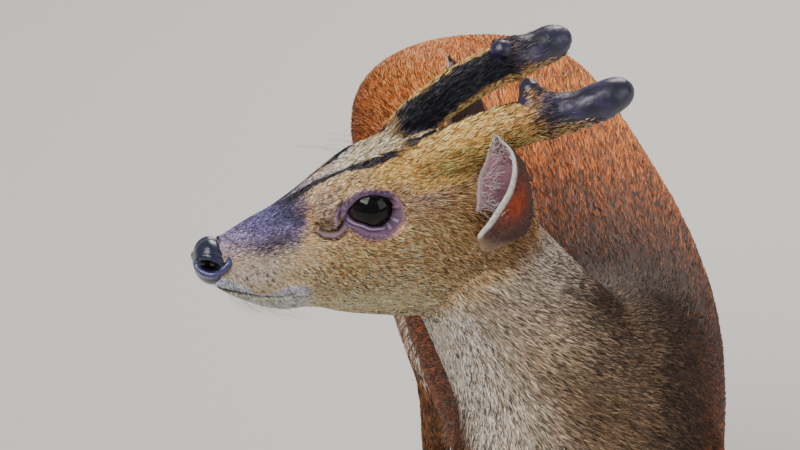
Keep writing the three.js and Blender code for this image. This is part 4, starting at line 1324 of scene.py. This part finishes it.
# %% Fine hair that runs on to the antlers
for side, mirror in SIDES.items():
    beam_points, beam_faces = arrays_of(pieces[f"antler_{side}"])
    beam_normals = normals_of(beam_points, beam_faces)
    rows = np.asarray(ANTLERS[side]["beam"])[:, :3] * [1, mirror, 1]
    along = unit(rows[-3] - rows[1])
    way = (to_head(beam_points) - rows[1]) @ along
    reach = 9 + 30 * ramp(-(beam_normals @ HEAD_AXES)[:, 2], -0.1, 0.8)
    away = np.linalg.norm(to_head(beam_points) - rows[1] - way[:, None] * along, axis=1)
    thick = 1.6 * ramp(way, reach, 0.1 * reach) * ramp(away, 17.5, 13.8) * (way > -8)
    beam_face, beam_share = sown(beam_points, beam_faces, thick)
    place = mix_at(beam_points, beam_faces, beam_face, beam_share)
    out = unit(mix_at(beam_normals, beam_faces, beam_face, beam_share))
    way = (to_head(place) - rows[1]) @ along
    under = ramp(-(out @ HEAD_AXES)[:, 2], -0.2, 0.5)
    tint = lay(one_colour("#4a3f4a", len(place)), "#c9934c", under)
    tint = lay(tint, "#a58a78", 0.7 * ramp(way, 4, 26))
    tint = tint + (markings_and_painted_light(place, out) - tint) * ramp(way, 8, -6)[:, None]
    count = len(place)
    root, normal = np.concatenate([root, place]), np.concatenate([normal, out])
    flow = np.concatenate([flow, np.tile(along @ HEAD_AXES.T, (count, 1))])
    colour, on_ear = np.concatenate([colour, tint]), np.r_[on_ear, np.zeros(count, bool)]
    length = np.r_[length, np.full(count, BEAM_HAIR[0])]
    width = np.r_[width, np.full(count, BEAM_HAIR[1])]
flow = unit(flow - normal * (flow * normal).sum(1, keepdims=True))
TUFTS = len(root)
print("tufts:", TUFTS, "of which on the ears:", int(on_ear.sum()), "on the antlers:", TUFTS - SKIN_TUFTS)

# %% [markdown]
# ## Lift and tone
# Close to, a deer's coat is speckled: each hair is banded dark and pale. Blades this size stand for
# a few hairs each, so most keep the colour of the place, some are dark, some pale, and every root is
# darker than its tip, as painted shade deep in the coat. The hair of crest, crown and chin stands up a
# little more than the rest.

# %% Lift and colour of each tuft
DARK_TONE, PALE_TONE, MAIN_TONE, ROOT_PAINTED_SHADE = 0.24, 2.2, 1.02, 0.6
q = to_head(root)
crest, on_stalk = np.zeros(TUFTS), np.zeros(TUFTS)
on_beam = np.arange(TUFTS) >= SKIN_TUFTS
for name, mirror in SIDES.items():
    away, t, inward = stalk_place(q, name)
    on = ramp(away, 20, 16) * (q[:, 1] * mirror > 0) * ramp(q[:, 0], -18, -30)
    crest += on * hill(inward, 0.3, 0.7) * ramp(t, 0.8, 0.6)
    on_stalk += on * ramp(t, 0.75, 0.95)
height = head_height(root)
lifted = ramp(q[:, 2], 8, 14) * ramp(np.abs(q[:, 1]), 20, 14) * ramp(q[:, 0], 25, 0) * (height > 0)
length = length * rng.uniform(0.75, 1.25, TUFTS) * (1 + 0.5 * crest)
length = length * (1 - 0.5 * np.clip(on_stalk, 0, 1) * ~on_beam)
hanging = on_chin(q[:, 0], q[:, 2]) * (height > 0)
lift = (0.13 + 0.2 * crest + 0.22 * lifted + 0.12 * hanging) * np.where(on_ear, 0.8, 1)
points = blades(root, normal, flow, length, width * rng.uniform(0.8, 1.2, TUFTS), lift)
light = colour.mean(1)
kind = rng.random(TUFTS)
dark = kind < np.where(light > 0.5, 0.16, 0.36)
pale = kind > np.where(light > 0.5, 0.9, 0.72)
tone = np.where(dark, DARK_TONE, np.where(pale, PALE_TONE, MAIN_TONE))
tone = tone * np.exp(rng.normal(0, 0.3, TUFTS))
tone = np.where(on_ear, np.exp(rng.normal(0, 0.12, TUFTS)), tone)
tip_tone = np.where(pale, 1.25, rng.uniform(0.8, 1.2, TUFTS))
# Painted shade: each root is darker than its tip, as the coat is shaded deep down.
tones = np.stack([ROOT_PAINTED_SHADE * tone, ROOT_PAINTED_SHADE * tone, tone, tone * tip_tone], -1)
grey = np.maximum(light, 0.12)[:, None]
hair_base = np.where((pale & (height > -40))[:, None], 0.8 * colour + 0.2 * grey, colour)
hair_colour = np.clip(hair_base[:, None] * tones[..., None], 0, 1).reshape(-1, 3)
shade = unit(normal + 0.25 * flow + rng.normal(0, 0.2, normal.shape))

# %% [markdown]
# ## Coat pieces and their unwrap
# The coat is kept in a few joined meshes, each a region of the body. Their UV map is an unwrap of
# the skin itself: the angle round the region's own axis against the way along it. Each tuft is a
# patch three thousandths wide at its root's place on that unwrap.

# %% Divide the coat
REGIONS = ["head_left", "head_right", "pedicles", "neck", "fore_right", "rump_right", "fore_left",
           "rump_left", "forelegs", "hindlegs", "tail", "ears", "muzzle_left", "muzzle_right"]
NUMBER = {name: number for number, name in enumerate(REGIONS)}
KNEE_TOP, HOCK_TOP = 262, 290
TUFT_PATCH = np.array([[-0.0014, -0.0012], [0.0014, -0.0012], [0, 0.0002], [0, 0.0016]])


def region_of(points):
    """The region's number of each root, and its place on that region's unwrap."""
    q, m = to_head(points), points - SHIFT
    height, sideways = trunk_place(m)
    high = head_height(points)
    region = np.full(len(points), NUMBER["fore_right"]) + (m[:, 1] > 30) + 2 * (sideways > 0)
    place = np.stack([np.arctan2(height * 200 - 100, sideways), m[:, 1] / 100], -1)

    def claim(where, name, first, second):
        region[where] = NUMBER[name]
        place[where] = np.stack([first + 0 * m[:, 0], second], -1)[where]

    neck = np.array(NECK, float)
    cx, cy = (np.interp(m[:, 2], neck[:, 2], neck[:, k]) for k in (0, 1))
    on_neck = (over_chest(m) > NECK_LINE + 20) & (m[:, 1] < NECK_BACK)
    claim(on_neck, "neck", np.arctan2(m[:, 1] - cy, m[:, 0] - cx), m[:, 2])
    for name, loft, middle, top in (("forelegs", FORELEG, FORE_X, KNEE_TOP),
                                    ("hindlegs", HINDLEG, HIND_X, HOCK_TOP)):
        side = np.sign(m[:, 0] - middle)
        low = (m[:, 2] < top) & ((m[:, 1] > 0) == (name == "hindlegs"))
        low &= np.abs(m[:, 0] - middle) < 62
        rows = np.array(loft, float)[::-1]
        lx, ly = (np.interp(m[:, 2], rows[:, 2], rows[:, k]) for k in (0, 1))
        angle = np.arctan2(m[:, 1] - ly, m[:, 0] - middle - side * lx)
        claim(low, name, angle + 4 * np.pi * (side > 0), m[:, 2])
    claim(at_tail(m, 28) & (m[:, 2] < 462), "tail",
          np.arctan2(m[:, 1] - 290, m[:, 0] - TAIL_X), m[:, 2])
    claim(high > 0, "head_left", np.arctan2(q[:, 1], q[:, 2] + 22), q[:, 0])
    region[(high > 0) & (q[:, 1] < 0)] = NUMBER["head_right"]
    muzzle = (high > 0) & (q[:, 0] > 24)
    region[muzzle] = NUMBER["muzzle_left"] + (q[muzzle, 1] < 0)
    for name, mirror in SIDES.items():
        away, t, inward = stalk_place(q, name)
        claim((away < 18) & (q[:, 0] < -24) & (q[:, 1] * mirror > 0) & (q[:, 2] > 16), "pedicles",
              inward + 4 * np.pi * (mirror > 0), t)
    return region, place


region, place = region_of(root)
ear_place = np.concatenate([ear_place, np.zeros((TUFTS - SKIN_TUFTS, 2))])
region, place = np.where(on_ear, NUMBER["ears"], region), np.where(on_ear[:, None], ear_place, place)


def set_unwrap(piece, places, faces):
    """The map OFBake on a mesh, from a place for each point."""
    layer = piece.data.uv_layers.new(name="OFBake")
    layer.uv.foreach_set("vector", places[faces.ravel()].astype(np.float32).ravel())


def grow(name):
    """One region's tufts as a joined mesh with colours, normals and the unwrap of their roots."""
    rows = np.nonzero(region == NUMBER[name])[0]
    corners = (rows[:, None] * 4 + np.arange(4)).ravel()
    first = np.arange(len(rows))[:, None, None] * 4
    triangles = (first + TUFT_FACES).reshape(-1, 3)
    piece = make_mesh(f"coat_{name}", points[corners], triangles)
    paint(piece, "markings_and_painted_light", hair_colour[corners])
    spot = place[rows]
    low, high = spot.min(0), spot.max(0)
    spot = 0.01 + 0.98 * (spot - low) / np.maximum(high - low, 1e-6)
    set_unwrap(piece, (spot[:, None] + TUFT_PATCH).reshape(-1, 2), triangles)
    piece.data.normals_split_custom_set_from_vertices(np.repeat(shade[rows], 4, axis=0).tolist())
    return piece


coat = [grow(name) for name in REGIONS]
for piece in coat:
    print(piece.name, len(piece.data.polygons), "triangles")

# %% [markdown]
# ## Single hairs
# Whiskers hang from the chin and stand on lip and brow, white hairs fan into the cups of the ears,
# and fine pale hairs run up the antlers. Each is a thin three-sided strand along a bent line: root,
# plus direction times way, plus droop times the square of the way.

# %% Grow single hairs
STRAND_RINGS = 6
LIP_WHISKERS = [[83, -37], [80, -40.5], [86, -36], [76, -42.5]]


def strands(name, root, direction, length, thick, droop, colour):
    """Tapered bent strands as one mesh: rings of three points whose radius shrinks to the tip."""
    count = len(root)
    way = np.linspace(0, 1, STRAND_RINGS)[None, :, None]
    length, thick = (np.broadcast_to(v, count)[:, None, None] for v in (length, thick))
    line = root[:, None] + direction[:, None] * length * way + droop[:, None] * length * way**2
    axis = unit(np.gradient(line, axis=1))
    side = unit(np.cross(axis, [0.3, 0.5, 0.81]))
    other = np.cross(axis, side)
    radius = thick * (1 - 0.93 * way) ** 0.8
    a = around(3)[None, None, :, None]
    spoke = side[:, :, None] * np.cos(a) + other[:, :, None] * np.sin(a)
    points = (line[:, :, None] + radius[..., None] * spoke).reshape(-1, 3)
    k, j = np.meshgrid(np.arange(STRAND_RINGS - 1), np.arange(3), indexing="ij")
    p, q = k * 3 + j, k * 3 + (j + 1) % 3
    pattern = np.stack([p, q, p + 3, q, q + 3, p + 3], -1).reshape(-1, 3)
    end = 3 * (STRAND_RINGS - 1)
    pattern = np.concatenate([pattern, [[0, 2, 1], [end, end + 1, end + 2]]])
    each = 3 * STRAND_RINGS
    faces = (np.arange(count)[:, None, None] * each + pattern).reshape(-1, 3)
    piece = make_mesh(name, points, faces)
    paint(piece, "markings_and_painted_light", np.repeat(colour, each, axis=0))
    spot = 0.02 + 0.96 * np.stack([np.arange(count) % 64 / 64, np.arange(count) // 64 / 64], -1)
    patch = np.stack([np.tile([-0.001, 0.001, 0], STRAND_RINGS),
                      np.repeat(np.linspace(-0.0014, 0.0014, STRAND_RINGS), 3)], -1)
    set_unwrap(piece, (spot[:, None] + patch).reshape(-1, 2), faces)
    return piece


def tinted(hex_colour, count):
    """One colour for many hairs, each a little lighter or darker."""
    return linear(hex_colour) * np.exp(rng.normal(0, 0.15, (count, 1)))


def skin_near(places, side):
    """The skin's points and normals nearest to places in the head's frame, on one side of the head."""
    found = [FACE_TREE.find_nearest(Vector(place)) for place in from_head(places * [1, side, 1])]
    return np.array([hit[0] for hit in found]), np.array([hit[1] for hit in found])


def head_way(v, mirror):
    """Directions of the head's frame on one side, as unit vectors of the model's frame."""
    return unit((np.asarray(v, float) * [1, mirror, 1]) @ HEAD_AXES.T)


def chin_hairs(side, mirror):
    """Pale bristles that hang from the lower lip and the chin."""
    n = 30
    x = rng.uniform(52, 88, n)
    places = np.stack([x, rng.uniform(3, 9, n), line_at(x, MOUTH_LINE) - rng.uniform(4, 9, n)], -1)
    root, _ = skin_near(places, mirror)
    way = np.stack([rng.normal(-0.15, 0.2, n), rng.normal(0.15, 0.2, n), -np.ones(n)], -1)
    return strands(f"chin_hairs_{side}", root, head_way(way, mirror), rng.uniform(7, 22, n), 0.13,
                   head_way([[-0.3, 0, 0.05]], mirror).repeat(n, 0), tinted("#d8d2c8", n))


def whiskers(side, mirror):
    """A stub on each whisker dot and longer whiskers by the lip."""
    dots = np.array(WHISKER_DOTS + LIP_WHISKERS)
    n = len(dots)
    root, out = skin_near(np.insert(dots, 1, 17, axis=1), mirror)
    way = unit(0.7 * out + head_way([[0.05, 0.25, -0.6]], mirror))
    length = np.where(np.arange(n) < len(WHISKER_DOTS), 1.6, rng.uniform(9, 18, n))
    return strands(f"whiskers_{side}", root, way, length, 0.15,
                   head_way([[-0.25, 0, -0.2]], mirror).repeat(n, 0), tinted("#2a211f", n))


def brow_hairs(side, mirror):
    """A few long feelers over the eye."""
    n = 7
    places = np.stack([rng.uniform(-8, 12, n), np.full(n, 24), rng.uniform(15, 21, n)], -1)
    root, out = skin_near(places, mirror)
    way = unit(out + head_way([[0.35, 0.2, 0.7]], mirror))
    return strands(f"brow_hairs_{side}", root, way, rng.uniform(12, 24, n), 0.13,
                   head_way([[0.3, 0, -0.15]], mirror).repeat(n, 0), tinted("#3a332f", n))


def lashes(side, mirror):
    """Short black lashes along the upper lid."""
    n = 46
    angle = rng.uniform(20, 150, n)
    reach = 1.03 * np.interp(angle, np.arange(360), LID_EDGE, period=360)
    x, z = reach * np.cos(np.radians(angle)), reach * np.sin(np.radians(angle))
    ball = EYE_AT[1] + np.sqrt(np.maximum(16.4**2 - x**2 - z**2, 0))
    root = from_head(np.stack([x, ball * mirror, z], -1))
    way = head_way(np.stack([0.02 * x - 0.35, np.ones(n), 0.25 + 0.02 * z], -1), mirror)
    return strands(f"lashes_{side}", root, way, rng.uniform(3, 5.5, n), 0.12,
                   head_way([[-0.35, 0, -0.3]], mirror).repeat(n, 0), tinted("#120d10", n))


def ear_hairs(side, mirror):
    """White hairs that fan from both rims over the hollow of an ear, most of them from the front."""
    n = 210
    rings = ear_layer(EAR_HOLLOW, mirror)
    t, front = rng.uniform(0.18, 0.86, n), rng.random(n) < 0.72
    row = (t * (EAR_ALONG - 1)).astype(int)
    column = np.where(front, EAR_ACROSS - 2 - rng.integers(0, 7, n), 2 + rng.integers(0, 4, n))
    target = np.where(front, EAR_ACROSS // 3, EAR_ACROSS // 2)
    start, goal = rings[row, column], rings[np.minimum(row + 9, EAR_ALONG - 1), target]
    open_way = unit(rings[:, 0] + rings[:, -1] - 2 * rings[:, EAR_ACROSS // 2])[row]
    way = unit(unit(goal - start) + 0.75 * open_way + rng.normal(0, 0.25, (n, 3))) @ HEAD_AXES.T
    return strands(f"ear_hairs_{side}", from_head(start), way, rng.uniform(6, 12.5, n), 0.14,
                   -0.35 * (open_way @ HEAD_AXES.T), tinted("#efe9e4", n))


def velvet_hairs(side, mirror):
    """Fine pale hairs that point up a beam, fewer the further they are from the burr."""
    n = 260
    beam, beam_faces = arrays_of(pieces[f"antler_{side}"])
    x = to_head(beam)[:, 0]
    chosen = rng.choice(np.nonzero((x < -97) & (x > -128))[0], n)
    chosen = chosen[rng.random(n) < ramp(x[chosen], -128, -100) ** 1.5 + 0.05]
    n = len(chosen)
    out = normals_of(beam, beam_faces)[chosen]
    way = unit(head_way([[-1, 0.12, 0.22]], mirror) + 0.22 * out + rng.normal(0, 0.15, (n, 3)))
    return strands(f"velvet_hairs_{side}", beam[chosen] - 0.2 * out, way, rng.uniform(3, 6.5, n), 0.11,
                   0 * out, tinted("#b9a596", n))


# %% All the single hairs
front = skin_faces[:, 0]
weld_faces = skin_faces[(shell_of[front] == 0) & (head_height(skin_points[front]) > -5)]
FACE_TREE = BVHTree.FromPolygons(skin_points.tolist(), weld_faces.tolist())
KINDS = (chin_hairs, whiskers, brow_hairs, lashes, ear_hairs, velvet_hairs)
loose = [kind(side, mirror) for side, mirror in SIDES.items() for kind in KINDS]
print("single hairs:", sum(len(piece.data.polygons) for piece in loose), "triangles")

# %% [markdown]
# ## Camera, floor and light
# The camera looks 25.5 degrees down on the left side of the head from 1.6 metres, with a long lens,
# as a visitor would photograph the model. The floor is plain and pale, and large soft lamps stand
# in for an overcast sky, with one warmer lamp behind the back.

# %% Camera, floor and lamps
CAMERA_AT = (np.array([-279, -1671, 1257]) + SHIFT) / 1000
AZIMUTH, DOWN = math.radians(-6), math.radians(25.5)
FOCAL_PIXELS, FRAME_WIDTH, SENSOR = 2850, 800, 36
right = np.array([math.cos(AZIMUTH), math.sin(AZIMUTH), 0])
ahead = np.array([-math.sin(AZIMUTH), math.cos(AZIMUTH), 0])
lens_up = np.array([0, 0, 1]) * math.cos(DOWN) + ahead * math.sin(DOWN)
back = np.array([0, 0, 1]) * math.sin(DOWN) - ahead * math.cos(DOWN)
camera = bpy.data.objects.new("camera", bpy.data.cameras.new("camera"))
bpy.context.scene.collection.objects.link(camera)
placed = np.eye(4)
placed[:3, :3] = np.stack([right, lens_up, back], -1)
placed[:3, 3] = CAMERA_AT
camera.matrix_world = Matrix(placed.tolist())
camera.data.sensor_width = SENSOR
camera.data.lens = FOCAL_PIXELS / FRAME_WIDTH * SENSOR
bpy.context.scene.camera = camera


def lamp(name, place, target, size, watts, colour):
    """A square soft lamp that looks at a target; places in metres."""
    data = bpy.data.lights.new(name, "AREA")
    data.size, data.energy, data.color = size, watts, colour
    made = bpy.data.objects.new(name, data)
    bpy.context.scene.collection.objects.link(made)
    z = unit(np.subtract(place, target).astype(float))
    x = unit(np.cross([0, 0, 1], z))
    matrix = np.eye(4)
    matrix[:3, :3], matrix[:3, 3] = np.stack([x, np.cross(z, x), z], -1), place
    made.matrix_world = Matrix(matrix.tolist())


FLOOR_HALF = 9000
floor_corners = FLOOR_HALF * np.array([[-1, -1, 0], [1, -1, 0], [1, 1, 0], [-1, 1, 0]])
floor = make_mesh("floor", floor_corners, np.array([[0, 1, 2], [0, 2, 3]]))
lamp("key", (-1.4, -1.5, 2.6), (0, -0.1, 0.45), 1.6, 76, (1.0, 0.97, 0.93))
lamp("fill", (2.2, -1.6, 1.6), (0, -0.1, 0.4), 2.0, 22, (0.93, 0.96, 1.0))
lamp("rim", (0.9, 2.0, 2.2), (0, 0, 0.45), 1.2, 55, (1.0, 0.93, 0.84))
world = bpy.data.worlds.new("studio")
bpy.context.scene.world = world
world.use_nodes = True
world.node_tree.nodes["Background"].inputs["Color"].default_value = (0.86, 0.9, 1.0, 1)
world.node_tree.nodes["Background"].inputs["Strength"].default_value = 0.42

# %% [markdown]
# ## Finishes
# Each material starts from what the real surface is. One small function adds a node with its
# settings and its links, and another reads the markings and makes them lighter and darker by noise,
# so that fur, eye and nose never look evenly painted.

# %% Material helpers
def add_node(tree, kind, settings=(), links=()):
    """Adds a node, sets its sockets and fields by name, and links sockets into it."""
    node = tree.nodes.new(kind)
    for key, value in dict(settings).items():
        if isinstance(key, int) or key in node.inputs:
            node.inputs[key].default_value = value
        else:
            setattr(node, key, value)
    for key, source in dict(links).items():
        tree.links.new(source, node.inputs[key])
    return node


def finish(name, roughness, **sockets):
    """A new material with its shader; sockets by their names with underscores for spaces."""
    material = bpy.data.materials.new(name)
    material.use_nodes = True
    shader = material.node_tree.nodes["Principled BSDF"]
    shader.inputs["Roughness"].default_value = roughness
    for key, value in sockets.items():
        shader.inputs[key.replace("_", " ")].default_value = value
    return material, material.node_tree, shader


def rgba(hex_colour):
    """A hex colour as the four linear numbers of a colour socket."""
    return (*linear(hex_colour), 1.0)


def marked(tree, shader, low, high, scale):
    """Markings times noise of a scale for each metre, into the base colour; returns the place."""
    marks = add_node(tree, "ShaderNodeAttribute", {"attribute_name": "markings_and_painted_light"})
    place = add_node(tree, "ShaderNodeTexCoord").outputs["Object"]
    noise = add_node(tree, "ShaderNodeTexNoise", {"Scale": scale, "Detail": 3.0}, {"Vector": place})
    level = add_node(tree, "ShaderNodeMapRange", {"To Min": low, "To Max": high},
                     {"Value": noise.outputs["Fac"]})
    mix = add_node(tree, "ShaderNodeVectorMath", {"operation": "SCALE"},
                   {0: marks.outputs["Color"], "Scale": level.outputs["Result"]})
    tree.links.new(mix.outputs["Vector"], shader.inputs["Base Color"])
    return place


# %% Fur and skin
# Deer fur: short, springy hair with a faint gloss along it. The colour comes from the markings; a
# noise of about 2 mm uneven patches keeps it from looking painted. Grit of 0.7 mm roughens the skin.
def fur_finish(name, roughness, tone, bump):
    """A fur material: markings times soft noise, and a bump of fine grit where it is skin."""
    material, tree, shader = finish(name, roughness, Specular_IOR_Level=0.3)
    place = marked(tree, shader, tone - 0.22, tone + 0.22, 420.0)
    if bump:
        grit = add_node(tree, "ShaderNodeTexNoise", {"Scale": 1400.0, "Detail": 2.0}, {"Vector": place})
        relief = add_node(tree, "ShaderNodeBump", {"Strength": bump, "Distance": 0.0004},
                          {"Height": grit.outputs["Fac"]})
        tree.links.new(relief.outputs["Normal"], shader.inputs["Normal"])
    return material


skin.data.materials.append(fur_finish("skin under short fur", 0.62, 0.9, 0.5))
coat_finish = fur_finish("short deer fur", 0.6, 1.05, 0)
hair_finish = fur_finish("single stiff hairs", 0.45, 1.0, 0)
for piece in coat:
    piece.data.materials.append(coat_finish)
for piece in loose:
    piece.data.materials.append(hair_finish)

# %% Wet eye and nose leather
# The eyeball is wet: very smooth, with the low index of a tear film. The nose is bare skin in fine
# pebbles of under a millimetre, moist, so a thin clear coat lies over a dull ground.
eye_wet, tree, shader = finish("wet eyeball", 0.03, IOR=1.34)
marked(tree, shader, 0.8, 1.2, 1 / 0.0012)
leather, tree, shader = finish("moist nose leather", 0.32, Coat_Weight=0.55, Coat_Roughness=0.12)
place = marked(tree, shader, 0.75, 1.3, 1 / 0.004)
pebbles = add_node(tree, "ShaderNodeTexVoronoi", {"Scale": 1150.0}, {"Vector": place})
relief = add_node(tree, "ShaderNodeBump", {"Strength": 0.35, "Distance": 0.0003},
                  {"Height": pebbles.outputs["Distance"]})
relief.invert = True
tree.links.new(relief.outputs["Normal"], shader.inputs["Normal"])
tree.links.new(relief.outputs["Normal"], shader.inputs["Coat Normal"])

# %% Antler velvet
# Velvet on a growing antler is skin with a dense nap under a millimetre long, satin, violet black,
# with a cool sheen at grazing angles, low veins about 6 mm apart and clouds of paler violet.
velvet, tree, shader = finish("antler velvet", 0.33, Sheen_Weight=0.2, Sheen_Roughness=0.35,
                              Sheen_Tint=rgba("#7f7cd0"), Specular_IOR_Level=0.75)
place = add_node(tree, "ShaderNodeTexCoord").outputs["Object"]
clouds = add_node(tree, "ShaderNodeTexNoise", {"Scale": 90.0, "Detail": 5.0, "Roughness": 0.6},
                  {"Vector": place})
shades = add_node(tree, "ShaderNodeValToRGB", links={"Fac": clouds.outputs["Fac"]})
for stop, (at, shade_hex) in zip(range(3), ((0.3, "#090811"), (0.52, "#1a1530"), (0.72, "#382a52"))):
    element = shades.color_ramp.elements[stop] if stop < 2 else shades.color_ramp.elements.new(at)
    element.position, element.color = at, rgba(shade_hex)
tree.links.new(shades.outputs["Color"], shader.inputs["Base Color"])
nap = add_node(tree, "ShaderNodeTexNoise", {"Scale": 2200.0, "Detail": 2.0}, {"Vector": place})
veins = add_node(tree, "ShaderNodeTexNoise", {"Scale": 160.0, "Detail": 2.0}, {"Vector": place})
height = add_node(tree, "ShaderNodeMath", {"operation": "MULTIPLY_ADD", 1: 0.25},
                  {0: nap.outputs["Fac"], 2: veins.outputs["Fac"]})
relief = add_node(tree, "ShaderNodeBump", {"Strength": 0.5, "Distance": 0.001},
                  {"Height": height.outputs["Value"]})
tree.links.new(relief.outputs["Normal"], shader.inputs["Normal"])

# %% Hoof horn and floor
# Hoof horn is dark keratin, dull, with growth rings about 3 mm apart that run round the claw, and
# scuffed paler in patches of about 4 mm.
horn, tree, shader = finish("dark hoof horn", 0.45)
place = add_node(tree, "ShaderNodeTexCoord").outputs["Object"]
rings = add_node(tree, "ShaderNodeTexWave",
                 {"bands_direction": "Z", "Scale": 100.0, "Distortion": 1.2, "Detail": 2.0},
                 {"Vector": place})
wear = add_node(tree, "ShaderNodeTexNoise", {"Scale": 260.0, "Detail": 4.0}, {"Vector": place})
shades = add_node(tree, "ShaderNodeValToRGB", links={"Fac": wear.outputs["Fac"]})
for element, at, shade_hex in zip(shades.color_ramp.elements, (0.35, 0.7), ("#1b1613", "#4a3d33")):
    element.position, element.color = at, rgba(shade_hex)
tree.links.new(shades.outputs["Color"], shader.inputs["Base Color"])
relief = add_node(tree, "ShaderNodeBump", {"Strength": 0.4, "Distance": 0.0004},
                  {"Height": rings.outputs["Fac"]})
tree.links.new(relief.outputs["Normal"], shader.inputs["Normal"])
plain, tree, shader = finish("pale studio floor", 0.8)
shader.inputs["Base Color"].default_value = rgba("#d9d6d0")
floor.data.materials.append(plain)
for key, piece in pieces.items():
    kind = key.split("_")[0]
    piece.data.materials.append({"eye": eye_wet, "nose": leather, "antler": velvet, "hoof": horn}[kind])

# %% [markdown]
# ## What each piece stands for
# Every piece rides on the one body of the model and stands for the solids that it replaces.

# %% Bind the pieces to the frame
flesh = ["torso", "neck", "head", "tail", "ear_left", "ear_right"]
flesh += [f"{name}_{half}" for name in LEGS for half in ("upper", "lower")]
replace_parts(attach(skin, "root"), *flesh)
for piece in coat + loose:
    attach(piece, "root")
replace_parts(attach(pieces["nose"], "root"), "nose_pad")
for side in SIDES:
    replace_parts(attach(pieces[f"eye_{side}"], "root"), f"eye_{side}")
    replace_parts(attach(pieces[f"antler_{side}"], "root"), f"antler_beam_{side}", f"brow_tine_{side}")
for name in LEGS:
    parts = [f"{kind}_{name}_{edge}" for kind in ("hoof", "dewclaw") for edge in ("outer", "inner")]
    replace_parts(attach(pieces[f"hoof_{name}"], "root"), *parts)
